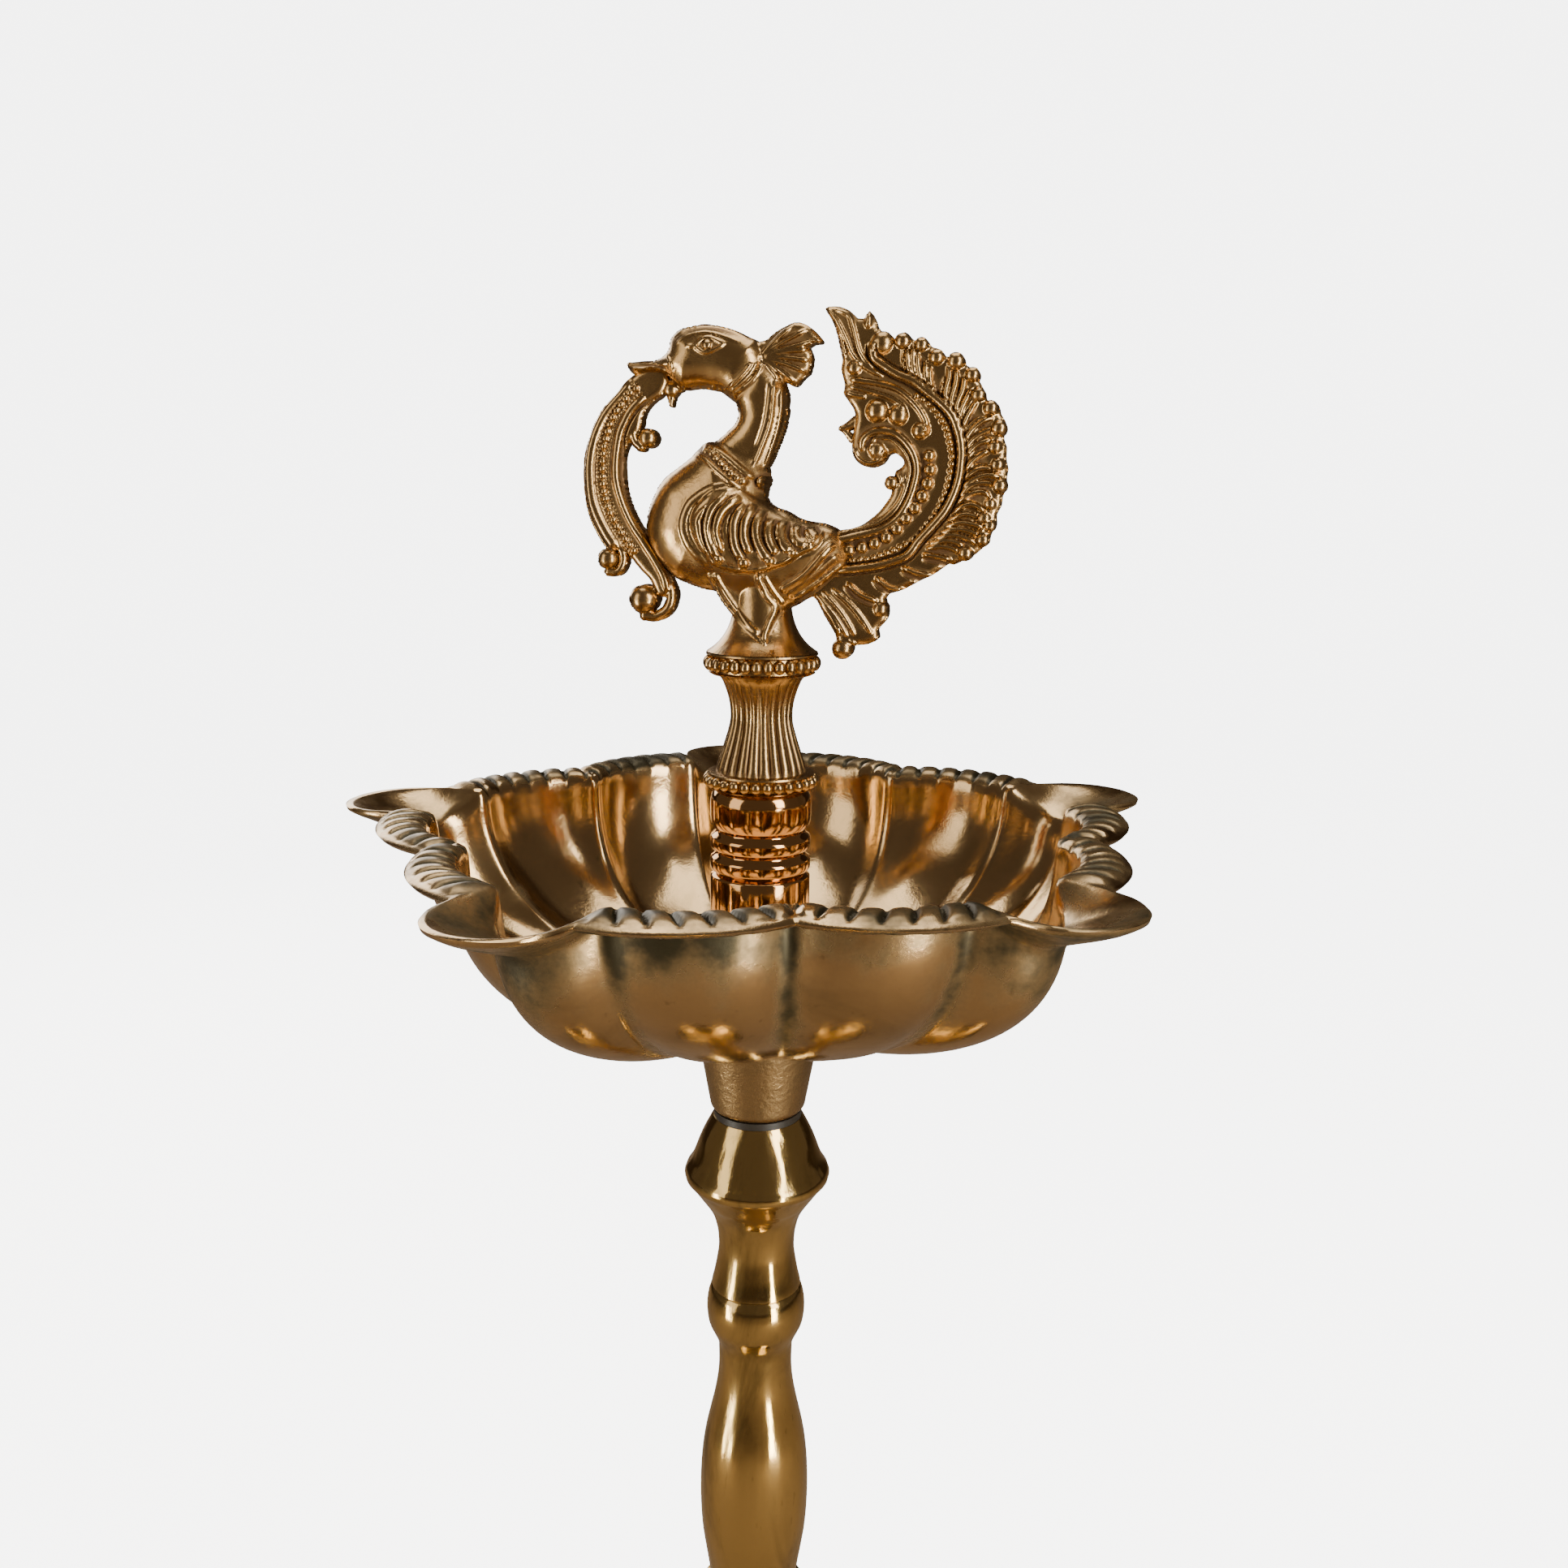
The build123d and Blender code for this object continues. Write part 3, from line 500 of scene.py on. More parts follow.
def stem_profile(bottom, top, bulb_radius, bulb_drop, bulb_height):
    """A baluster section's outline from its collar up to its head, in millimetres."""
    tail = bottom + 5.0
    neck = tail + bulb_height
    knop_foot = neck + 6.3
    groove = knop_foot + 10.5
    head_foot = groove + 16.7
    shoulder = top - 10.9
    collar = [(COLLAR_FOOT, bottom), (9.0, bottom + 0.5), (10.0, bottom + 1.5),
              (10.45, bottom + 2.7), (10.1, bottom + 4.0), (9.5, bottom + 4.9), (8.2, tail + 0.05)]
    bulb = catmull([(7.6, tail + 0.1), (8.6, tail + 0.14 * bulb_height),
                    (bulb_radius * 0.975, neck - bulb_drop - 9), (bulb_radius, neck - bulb_drop),
                    (bulb_radius * 0.93, neck - bulb_drop + 8.5), (7.35, neck - 5), (6.7, neck),
                    (6.72, knop_foot - 1.2)], 1.0).tolist()
    knop = catmull([(7.1, knop_foot), (7.75, knop_foot + 1.4), (8.6, knop_foot + 3.4),
                    (8.9, knop_foot + 6.3), (8.6, knop_foot + 8.8), (8.1, groove - 0.25)],
                   0.6).tolist()
    ring = [(7.85, groove), (8.05, groove + 0.25)]
    waist = catmull([(8.0, groove + 0.6), (7.45, groove + 3.0), (6.95, groove + 6.0),
                     (6.8, groove + 7.8), (7.05, groove + 11.0), (7.95, groove + 14.2),
                     (9.4, head_foot)], 0.8).tolist()
    head = catmull([(9.5, head_foot + 0.1), (11.9, shoulder - 1.9), (12.75, shoulder - 0.9),
                    (12.95, shoulder), (12.6, shoulder + 1.0), (11.6, shoulder + 2.6),
                    (9.9, top - 3.9), (8.1, top - 0.35), (COLLAR_FOOT, top)], 0.6).tolist()
    return collar + bulb + knop + ring + waist + head


class LAMP_OT_stem(bpy.types.Operator):
    """Turn the two stem sections, each with a bore at both ends"""
    bl_idname = "lamp.stem"
    bl_label = "Stem sections"

    def execute(self, context):
        for name, (radius, drop, height) in STEM_BULBS.items():
            low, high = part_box(name)
            bottom, top = low.z / MM, high.z / MM
            outside = stem_profile(bottom, top, radius, drop, height)
            bore = [(STUD_BORE, top), (STUD_BORE, top - BORE_DEPTH), (0.0, top - BORE_DEPTH)]
            foot_bore = [(0.0, bottom + BORE_DEPTH), (STUD_BORE, bottom + BORE_DEPTH),
                         (STUD_BORE, bottom), (COLLAR_FOOT, bottom)]
            profile = [(r * MM, z * MM) for r, z in outside + bore + foot_bore]
            piece = turned(name + "_turned", profile, steps=128)
            finish_piece(piece, name, bpy.data.materials["stem brass"])
        return {"FINISHED"}


def threaded_pin(name, radius, bottom, top, pitch):
    """A threaded rod with chamfered ends."""
    depth = 0.5 * pitch
    angles = np.arange(THREAD_STEPS) * FULL_TURN / THREAD_STEPS
    rows = int((top - bottom) / pitch * ROWS_PER_THREAD)
    levels = np.linspace(bottom, top, rows)
    phase = (levels[None, :] / pitch - angles[:, None] / FULL_TURN) % 1
    tooth = np.abs(phase * 2 - 1)
    from_end = np.minimum(levels - bottom, top - levels)[None, :]
    reach = radius - depth * tooth
    outer = np.minimum(reach, radius - depth - 0.2 * pitch + from_end)
    core = np.full((THREAD_STEPS, 1), 0.05 * radius)
    radii = np.hstack([core, outer, core])
    heights = np.tile(np.concatenate([[bottom], levels, [top]]), (THREAD_STEPS, 1))
    return closed_ring(name, radii, heights, angles, crease=50)


class LAMP_OT_screws(bpy.types.Operator):
    """Cut the threads of the studs and the finial rod"""
    bl_idname = "lamp.screws"
    bl_label = "Studs and rod"

    def execute(self, context):
        steel = plain_finish("threaded steel", (0.45, 0.44, 0.41, 1), 1.0, 0.28, 160, 0.2)
        for node in ("foot_stud", "stem_stud", "bowl_stud", "finial_rod"):
            low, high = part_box(node)
            piece = threaded_pin(node + "_threaded", high.x, low.z, high.z, THREAD_PITCH)
            finish_piece(piece, node, steel)
        return {"FINISHED"}


# ------------------------------------------------------------------ bowl
SECTOR = math.radians(72)
BEAK_DIRECTION = math.radians(94)
NOTCH = math.radians(9.4)
CROWN = math.radians(21)
PETAL_RADIUS = 55.8
SEAT_RADIUS = 15.0
ROUNDNESS = 2.4
ROD_HOLE = 3.05
# radius at the beak's tip, the notch beside it, the scallop's crown and the valley, in millimetres
LIP_OUTLINE = (76.0, 64.7, 63.6, 57.2)
WALL_OUTLINE = (62.0, PETAL_RADIUS, PETAL_RADIUS, 49.4)
BOWL_STEPS = 880
FLOOR_ROWS = 5
WALL_ROWS = 34
LIP_ROWS = 16
LIP_DROP = 1.5
CUP_DEPTH = 1.3
EDGE_MARGIN = 0.6
SHEET_LIFT = 0.75
CREASE_SPREAD = math.radians(7)
THINNING = np.array([1.0, 0.95, 0.85, 0.7])
BEAN_SLANT = 0.9
UNDERSIDE_SHARE = 0.5
ABOVE_RIM = 1.0 * MM


def arc_radius(angle, start, middle, end):
    """Radius at an angle of the circle through three (radius, angle) points."""
    points = [(r * math.cos(a), r * math.sin(a)) for r, a in (start, middle, end)]
    (ax, ay), (bx, by), (cx, cy) = points
    d = 2 * (ax * (by - cy) + bx * (cy - ay) + cx * (ay - by))
    ux = ((ax ** 2 + ay ** 2) * (by - cy) + (bx ** 2 + by ** 2) * (cy - ay) + (cx ** 2 + cy ** 2)
          * (ay - by)) / d
    uy = ((ax ** 2 + ay ** 2) * (cx - bx) + (bx ** 2 + by ** 2) * (ax - cx) + (cx ** 2 + cy ** 2)
          * (bx - ax)) / d
    size = (ax - ux) ** 2 + (ay - uy) ** 2
    along = ux * np.cos(angle) + uy * np.sin(angle)
    inside = np.maximum(along ** 2 - (ux ** 2 + uy ** 2) + size, 0)
    near, far = along - np.sqrt(inside), along + np.sqrt(inside)
    target = middle[0]
    return np.where(np.abs(near - target) < np.abs(far - target), near, far)


def outline(from_beak, tip, notch, crown, valley):
    """Radius of a beaked and scalloped outline at angles measured from the nearest beak."""
    side = np.abs(from_beak)
    beak = arc_radius(side, (notch, -NOTCH), (tip, 0), (notch, NOTCH))
    scallop = arc_radius(side, (notch, NOTCH), (crown, CROWN), (valley, SECTOR / 2))
    return np.where(side < NOTCH, beak, scallop)


def nearness_to_crease(side):
    """Distance from the nearest crease, as a share of the crease's spread."""
    return np.minimum(np.abs(side - NOTCH * 1.15), np.abs(side - SECTOR / 2)) / CREASE_SPREAD


def bowl_middle(sizes, from_beak, across):
    """Radius and height of the sheet's middle, from the rod hole up the wall and over the lip."""
    around = len(from_beak)
    side = np.abs(from_beak)
    depth = (RIM - BOWL_BOTTOM) / MM
    beak = np.clip(1 - (side / NOTCH) ** 2, 0, 1)
    drop = (sizes.channel_depth / MM * beak ** 0.8)[:, None]
    cup = (CUP_DEPTH * beak)[:, None]
    floor_r = np.linspace(ROD_HOLE, SEAT_RADIUS * 0.96, FLOOR_ROWS)[None, :] * np.ones((around, 1))
    floor_z = np.zeros((around, FLOOR_ROWS))
    power = 2 / ROUNDNESS
    seat_angle = math.acos((SEAT_RADIUS / PETAL_RADIUS) ** (1 / power))
    share = np.linspace(1, 0, WALL_ROWS)[None, :]
    turn = seat_angle * share
    rise = 1 - (np.sin(turn) / math.sin(seat_angle)) ** power
    top = outline(from_beak, *WALL_OUTLINE)[:, None]
    eased = PETAL_RADIUS + (top - PETAL_RADIUS) * (1 - share) ** 0.7
    up_wall = np.sin(np.pi * np.clip(1.05 - share, 0, 1) ** 0.8)
    crease = np.exp(-nearness_to_crease(side) ** 2 * 3)[:, None] * up_wall
    wall_r = np.cos(turn) ** power * eased - sizes.crease / MM * crease
    for _ in range(4):
        wall_r = (np.roll(wall_r, 2, axis=0) + 2 * wall_r + np.roll(wall_r, -2, axis=0)) / 4
    wall_z = rise * (depth - LIP_DROP - drop - cup)
    lip = outline(from_beak, *LIP_OUTLINE)[:, None]
    lip_r = wall_r[:, -1:] + (lip - EDGE_MARGIN - wall_r[:, -1:]) * across
    lip_z = depth - LIP_DROP - drop * (1 - across) ** 1.3 - cup * (1 - across ** 4)
    middle_r = np.hstack([floor_r, wall_r, lip_r])
    middle_z = np.hstack([floor_z, wall_z, lip_z])
    for line in (middle_r, middle_z):
        for _ in range(2):
            line[:, 1:-1] = (line[:, :-2] + 2 * line[:, 1:-1] + line[:, 2:]) / 4
    return middle_r, middle_z


def lip_beans(sizes, side, across):
    """The lip's slanting beans, the dents between them and where both lie, each 0 to 1."""
    place = (side - NOTCH) / (SECTOR / 2 - NOTCH)
    phase = place[:, None] * sizes.ridges - BEAN_SLANT * across
    window = np.sin(np.pi * np.clip((across - 0.04) / 0.86, 0, 1)) ** 0.5
    ends = np.clip(place / 0.08, 0, 1) * np.clip((1 - place) / 0.05, 0, 1)
    from_middle = np.abs(2 * ((phase + 0.5) % 1) - 1)
    on_lip = np.where(side > NOTCH, ends, 0)[:, None] * window
    bean = np.sqrt(1 - from_middle ** 2.2) * on_lip
    dent = np.exp(-((1 - from_middle) / 0.2) ** 2) * on_lip
    return bean, dent, on_lip


def bowl_painted_shade(side, across, dent, on_lip):
    """Painted shade, as a recess mask: under the rim and down the creases outside, and between the
    beans inside.
    """
    rows = FLOOR_ROWS + WALL_ROWS + LIP_ROWS
    wall_share = np.zeros(rows)
    wall_share[FLOOR_ROWS:-LIP_ROWS] = np.linspace(0, 1, WALL_ROWS)
    wall_share[-LIP_ROWS:] = 1
    line = np.exp(-(nearness_to_crease(side) * 2.6) ** 2)[:, None]
    creases = line * np.clip((wall_share - 0.15) / 0.7, 0, 1)[None, :] * 0.8
    outside = np.maximum(creases, 0.5 * np.clip((wall_share - 0.6) / 0.36, 0, 1)[None, :])
    inside = np.zeros((len(side), rows))
    # painted shade over the whole inside of the lip, deepest between the beans
    inside[:, -LIP_ROWS:] = 1.5 * dent * np.clip(1.25 - across, 0, 1) + 0.2 * on_lip + 0.42
    inside = np.maximum(inside, 0.4 * line * np.sin(np.pi * wall_share)[None, :])
    return np.hstack([outside, outside[:, -1:] * 0.4, inside[:, ::-1]])


class LAMP_OT_bowl(bpy.types.Operator):
    """Shape the lobed bowl, its sloping beaks and the beans on its lip"""
    bl_idname = "lamp.bowl"
    bl_label = "Bowl"

    def execute(self, context):
        sizes = context.scene.lamp_bowl
        angles = np.arange(BOWL_STEPS) * FULL_TURN / BOWL_STEPS
        from_beak = (angles - BEAK_DIRECTION + SECTOR / 2) % SECTOR - SECTOR / 2
        side = np.abs(from_beak)
        across = ((np.arange(LIP_ROWS) + 1) / LIP_ROWS)[None, :]
        middle_r, middle_z = bowl_middle(sizes, from_beak, across)
        slope_r = np.gradient(middle_r, axis=1)
        slope_z = np.gradient(middle_z, axis=1)
        length = np.hypot(slope_r, slope_z)
        normal_r, normal_z = -slope_z / length, slope_r / length
        half = sizes.wall / MM / 2
        thin = np.ones(middle_r.shape[1]) * half
        thin[-4:] = half * THINNING
        bean, dent, on_lip = lip_beans(sizes, side, across)
        extra = np.zeros_like(middle_r)
        extra[:, -LIP_ROWS:] = sizes.ridge_height / MM * (bean - 0.5 * dent)
        above, below = thin + extra, thin + UNDERSIDE_SHARE * extra
        past_edge = half * EDGE_MARGIN / length[:, -1:]
        radius = np.hstack([middle_r - normal_r * below,
                            middle_r[:, -1:] + slope_r[:, -1:] * past_edge,
                            (middle_r + normal_r * above)[:, ::-1]])
        height = np.hstack([middle_z - normal_z * below,
                            middle_z[:, -1:] + slope_z[:, -1:] * past_edge,
                            (middle_z + normal_z * above)[:, ::-1]]) + SHEET_LIFT
        height = np.clip(height * MM + BOWL_BOTTOM, BOWL_BOTTOM, RIM + ABOVE_RIM)
        # painted shade under the rim, down the creases and between the beans
        film_and_shade = bowl_painted_shade(side, across, dent, on_lip)
        piece = closed_ring("bowl_lobed", radius * MM, height, angles, crease=60, recess=film_and_shade)
        finish_piece(piece, "bowl", bpy.data.materials["bowl brass"])
        return {"FINISHED"}


# ------------------------------------------------------------------ finial post
POST_BANDS = (6.9, 3.1, 3.1)
BAND_STEPS = 8
BAND_GAP = 0.6
BAND_BULGE = 0.75
FLUTE_STEPS = 16
SPOOL_ROWS = 40
BEAD_CIRCLE = 8.9


class LAMP_OT_post(bpy.types.Operator):
    """Turn the post with its barrelled bands"""
    bl_idname = "lamp.post"
    bl_label = "Post"

    def execute(self, context):
        low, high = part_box("ribbed_post")
        radius = high.x / MM
        level = high.z / MM
        bottom = low.z / MM
        profile = [(ROD_HOLE, level), (radius - 0.9, level)]
        for band in POST_BANDS:
            for step in range(BAND_STEPS + 1):
                share = step / BAND_STEPS
                bulge = 1 - (2 * share - 1) ** 4
                profile.append((radius - BAND_BULGE + BAND_BULGE * bulge,
                                level - 0.15 - share * (band - 0.1)))
            level -= band + BAND_GAP
            profile.append((radius - 0.95, level + 0.3))
        profile += [(radius - 0.25, level), (radius - 0.05, level - 0.3), (radius - 0.05,
                                                                           bottom + 0.4),
                    (radius - 0.4, bottom), (ROD_HOLE, bottom), (ROD_HOLE, level + 0.1),
                    (ROD_HOLE, high.z / MM)]
        piece = turned("post_banded", [(r * MM, z * MM) for r, z in profile], steps=128, crease=50)
        finish_piece(piece, "ribbed_post", bpy.data.materials["post brass"])
        return {"FINISHED"}


class LAMP_OT_spool(bpy.types.Operator):
    """Shape the fluted spool"""
    bl_idname = "lamp.spool"
    bl_label = "Fluted spool"

    def execute(self, context):
        sizes = context.scene.lamp_finial
        low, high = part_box("fluted_spool")
        bottom, top = low.z / MM, high.z / MM
        around = sizes.flutes * FLUTE_STEPS
        angles = np.arange(around) * FULL_TURN / around
        share = np.linspace(0, 1, SPOOL_ROWS)
        base = catmull([(7.65, 0), (7.35, 0.08), (6.3, 0.28), (5.45, 0.46), (5.2, 0.58),
                        (5.5, 0.74), (6.5, 0.92), (7.45, 1.0)], 0.02)
        order = np.argsort(base[:, 1])
        waist = np.interp(share, base[order, 1], base[order, 0])
        deep = np.interp(share, [0, 0.05, 0.4, 0.75, 0.94, 1], [0.3, 1.0, 0.8, 0.55, 0.35, 0.0])
        wander = 0.35 * np.sin(angles * 3)[:, None] * share[None, :]
        phase = angles[:, None] * sizes.flutes + wander
        groove = np.abs(np.sin(phase / 2)) ** 0.45
        cut = (1 - groove) * deep[None, :]
        outer = waist[None, :] - sizes.flute_depth / MM * cut
        levels = bottom + share * (top - bottom)
        bore = np.full((around, 2), ROD_HOLE)
        radius = np.hstack([outer, bore]) * MM
        height = np.hstack([np.tile(levels, (around, 1)), np.tile([top, bottom], (around, 1))]) * MM
        # recess mask for the spool: painted shade down the flutes and along its lowest rows, where
        # it meets the ring below, with tarnish
        film_and_shade = np.hstack([cut * 1.5 + 0.25 * (share < 0.04)[None, :], np.zeros((around, 2))])
        piece = closed_ring("spool_fluted", radius, height, angles, crease=50, recess=film_and_shade)
        finish_piece(piece, "fluted_spool", bpy.data.materials["finial brass"])
        return {"FINISHED"}


def bead_ring(node, name, sizes, squeeze, ledge):
    """A disc with barrel-shaped beads round its edge, sunk a little into it."""
    low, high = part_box(node)
    bottom, top = low.z / MM, high.z / MM
    middle = (bottom + top) / 2
    core = [(ROD_HOLE, top), (8.3, top), (ledge, top - 0.15), (ledge + 0.05, top - 0.45),
            (8.75, top - 0.75), (8.6, middle), (8.5, bottom + 0.6), (8.9, bottom + 0.3),
            (8.3, bottom), (ROD_HOLE, bottom), (ROD_HOLE, top)]
    disc = turned(name, [(r * MM, z * MM) for r, z in core], steps=90, crease=45)
    pieces = [disc]
    deselect_all()
    bpy.ops.mesh.primitive_uv_sphere_add(segments=14, ring_count=9, radius=sizes.bead_radius)
    bead = bpy.context.object
    bpy.ops.object.shade_smooth()
    mesh = bead.data
    bpy.data.objects.remove(bead)
    for index in range(sizes.beads):
        copy = bpy.data.objects.new("bead", mesh.copy())
        bpy.context.scene.collection.objects.link(copy)
        wobble = 1 + 0.05 * math.sin(index * 2.7)
        turn = index * FULL_TURN / sizes.beads
        shape = Matrix.Diagonal((0.95, 0.93 * wobble, squeeze * (2 - wobble), 1))
        copy.data.transform(Matrix.Rotation(turn, 4, "Z") @ Matrix.Translation((BEAD_CIRCLE * MM,
                                                                                0,
                                                                                middle
                                                                                * MM)) @ shape)
        pieces.append(copy)
    return join(name, pieces)


class LAMP_OT_rings(bpy.types.Operator):
    """Make the two beaded rings"""
    bl_idname = "lamp.rings"
    bl_label = "Beaded rings"

    def execute(self, context):
        sizes = context.scene.lamp_finial
        for node, squeeze, ledge in (("bead_ring_lower", 1.0, 8.95), ("bead_ring_upper", 1.2, 9.3)):
            piece = bead_ring(node, node + "_beaded", sizes, squeeze, ledge)
            finish_piece(piece, node, bpy.data.materials["finial brass"])
        return {"FINISHED"}


# ------------------------------------------------------------------ bird
# the recess mask paints shade and tarnish into the casting's hollows: how far it reaches and how
# deep a hollow turns fully dark
RECESS_REACH = 0.7
RECESS_DEPTH = 0.42
LEAST_HALF = 0.3
OUTLINE_STEP = 0.5
LINE_STEP = 0.3
BODY_GRID = ((-23.5, 27.5), (16, 82))
GARLAND_GRID = ((-31.5, 32), (-12, 76))
TAIL_GRID = ((6, 26), (40.5, 84.5))
# half-thickness of the flared pedestal and the heights it is given at
FLARE_LEVELS = (28, 28.9, 29.75, 31.25, 33, 35, 38)
FLARE_RADII = (10, 9, 7.2, 5.7, 5.1, 4.9, 4.7)
SKIN = 0.7


class Relief:
    """A two-sided casting as half-thickness over its side view, in millimetres from the rim."""

    def __init__(self, low, high, cell):
        self.cell = cell
        self.x = np.arange(low[0], high[0] + cell, cell)
        self.z = np.arange(low[1], high[1] + cell, cell)
        self.px, self.pz = np.meshgrid(self.x, self.z, indexing="ij")
        self.height = np.zeros_like(self.px)
        self.edge = np.full_like(self.px, 1e3)
        self.bump = np.zeros_like(self.px)
        self.cut = np.zeros_like(self.px)

    def window(self, line, margin):
        """The part of the grid round a line."""
        low = line.min(0) - margin
        high = line.max(0) + margin
        first = np.array([self.x[0], self.z[0]])
        starts = ((low - first) / self.cell).astype(int)
        ends = ((high - first) / self.cell).astype(int) + 2
        return tuple(slice(max(0, start), max(0, end)) for start, end in zip(starts, ends))

    def round_patch(self, x, z, radius, margin=0.0):
        """The part of the grid round a point, and its distance from the point."""
        area = self.window(np.array([[x, z]]), radius + margin)
        return area, np.hypot(self.px[area] - x, self.pz[area] - z)

    def distance(self, line, area):
        """Distance from the grid's points to a line, and the place along it, 0 to 1."""
        px, pz = self.px[area], self.pz[area]
        best = np.full_like(px, 1e6)
        where = np.zeros_like(px)
        count = len(line) - 1
        for index in range(count):
            (ax, az), (bx, bz) = line[index], line[index + 1]
            dx, dz = bx - ax, bz - az
            size = dx * dx + dz * dz or 1e-9
            t = np.clip(((px - ax) * dx + (pz - az) * dz) / size, 0, 1)
            far = (px - ax - t * dx) ** 2 + (pz - az - t * dz) ** 2
            closer = far < best
            best = np.where(closer, far, best)
            where = np.where(closer, (index + t) / count, where)
        return np.sqrt(best), where

    def solid(self, points, thick, roll, wall, blend=0.0):
        """A plate or a pillow with this outline; its edge rolls over within the roll distance."""
        line = catmull(points, OUTLINE_STEP, closed=True)
        line = np.vstack([line, line[:1]])
        area = self.window(line, 1.0)
        away, _ = self.distance(line, area)
        px, pz = self.px[area], self.pz[area]
        inside = np.zeros(px.shape, bool)
        for (ax, az), (bx, bz) in zip(line, line[1:]):
            if az != bz:
                inside ^= ((az > pz) != (bz > pz)) & (px < (bx - ax) * (pz - az) / (bz - az) + ax)
        self.edge[area] = np.minimum(self.edge[area], np.where(inside, -away, away))
        u = np.clip(away / roll, 0, 1)
        rise = thick * (wall + (1 - wall) * np.sqrt(1 - (1 - u) ** 2))
        self.raise_to(area, np.where(inside, rise, 0), blend)

    def raise_to(self, area, rise, blend=0.0):
        """The larger of the present thickness and the new one, blended softly where they cross."""
        old = self.height[area]
        if blend > 0:
            mix = np.clip(0.5 + 0.5 * (rise - old) / blend, 0, 1)
            soft = old * (1 - mix) + rise * mix + blend * mix * (1 - mix)
            both = (rise > 0) & (old > 0)
            self.height[area] = np.where(both, soft, np.maximum(old, rise))
        else:
            self.height[area] = np.maximum(old, rise)

    def wrap(self, points):
        """A plate that lies on the flared pedestal below the bird."""
        line = catmull(points, OUTLINE_STEP, closed=True)
        area = self.window(line, 0.5)
        flare = np.interp(self.pz[area], FLARE_LEVELS, FLARE_RADII)
        rise = np.sqrt(np.maximum(flare ** 2 - self.px[area] ** 2, 1)) + SKIN
        below = (self.pz[area] < 40) & (self.edge[area] < 0)
        self.raise_to(area, np.where(below, rise, 0))

    def ridge(self, points, width, rise, taper):
        """A rounded ridge added on what is there; a negative rise cuts a groove. Its ends taper."""
        line = catmull(points, LINE_STEP)
        area = self.window(line, width)
        away, where = self.distance(line, area)
        ends = np.clip(np.minimum(where, 1 - where) / taper, 0, 1) ** 0.5
        half = width / 2 * (0.35 + 0.65 * ends)
        bump = abs(rise) * np.sqrt(np.clip(1 - (away / half) ** 2, 0, 1)) * ends
        layer = self.bump if rise > 0 else self.cut
        layer[area] = np.maximum(layer[area], np.where(self.edge[area] < 0.2, bump, 0))

    def strand(self, points, radius, thick, taper=0.0):
        """A round strand that is solid by itself."""
        line = catmull(points, LINE_STEP)
        area = self.window(line, radius + 1)
        away, where = self.distance(line, area)
        half = radius * (1 - taper * where)
        self.edge[area] = np.minimum(self.edge[area], away - half)
        round_top = np.sqrt(np.clip(1 - (away / half) ** 2, 0, 1))
        self.raise_to(area, np.where(away < half, thick * (0.35 + 0.65 * round_top), 0))

    def knob(self, x, z, radius, thick):
        """A ball that stands proud of a base of this half-thickness."""
        area, away = self.round_patch(x, z, radius, 1)
        self.edge[area] = np.minimum(self.edge[area], away - radius)
        dome = radius * np.sqrt(np.clip(1 - (away / radius) ** 2, 0, 1))
        self.raise_to(area, np.where(away < radius, thick + dome, 0))

    def clear(self, x, z, radius):
        """Takes the ridges and grooves off a round patch."""
        area, away = self.round_patch(x, z, radius)
        keep = away > radius
        self.bump[area] = self.bump[area] * keep
        self.cut[area] = self.cut[area] * keep

    def beads(self, points, radius, pitch, rise):
        """A row of beads along a line, added on what is there."""
        line = catmull(points, 0.05)
        gone = np.concatenate([[0], np.cumsum(np.hypot(*np.diff(line, axis=0).T))])
        count = max(2, round(gone[-1] / pitch))
        for place in (np.arange(count) + 0.5) * gone[-1] / count:
            x, z = np.interp(place, gone, line[:, 0]), np.interp(place, gone, line[:, 1])
            self.bead(x, z, radius, rise)

    def bead(self, x, z, radius, rise):
        """One bead added on what is there."""
        area, away = self.round_patch(x, z, radius)
        dome = rise * radius * np.sqrt(np.clip(1 - (away / radius) ** 2, 0, 1))
        self.bump[area] = np.maximum(self.bump[area], dome)

    def build(self, name, yaw, level):
        """The casting's mesh, with its recess mask, which paints shade and tarnish into the hollows.
        """
        edge = self.edge
        inside = edge < 0
        relief = self.bump - self.cut
        height = np.maximum(self.height + relief, LEAST_HALF)
        # recess mask: where the relief lies below its neighbourhood's average; it paints shade and
        # tarnish into the hollows
        reach = max(1, round(RECESS_REACH / self.cell))
        weight = np.maximum(blurred(inside * 1.0, reach), 1e-3)
        level_round = blurred(np.where(inside, relief, 0), reach) / weight
        recess = np.clip((level_round - relief) / RECESS_DEPTH, 0, 1) * inside
        cell_in = (edge[:-1, :-1] + edge[1:, :-1] + edge[1:, 1:] + edge[:-1, 1:]) < 0
        node_faces = np.zeros(edge.shape, int)
        for i in (0, 1):
            for j in (0, 1):
                node_faces[i:i + cell_in.shape[0], j:j + cell_in.shape[1]] += cell_in
        used = node_faces > 0
        border = used & (node_faces < 4)
        slope_x, slope_z = np.gradient(edge, self.cell)
        size = np.maximum(slope_x ** 2 + slope_z ** 2, 0.25)
        shift = np.where(border, np.clip(edge, -self.cell, self.cell) / size, 0)
        px = self.px - shift * slope_x
        pz = self.pz - shift * slope_z
        spread = blurred(np.where(inside, height, 0), 1) / np.maximum(blurred(inside * 1.0, 1),
                                                                      1e-3)
        half = np.maximum(np.where(inside, height, spread), LEAST_HALF)
        number = np.full(edge.shape, -1)
        number[used] = np.arange(used.sum())
        total = int(used.sum())
        a, b = number[:-1, :-1][cell_in], number[1:, :-1][cell_in]
        c, d = number[1:, 1:][cell_in], number[:-1, 1:][cell_in]
        front = np.stack([a, b, c, d], 1)
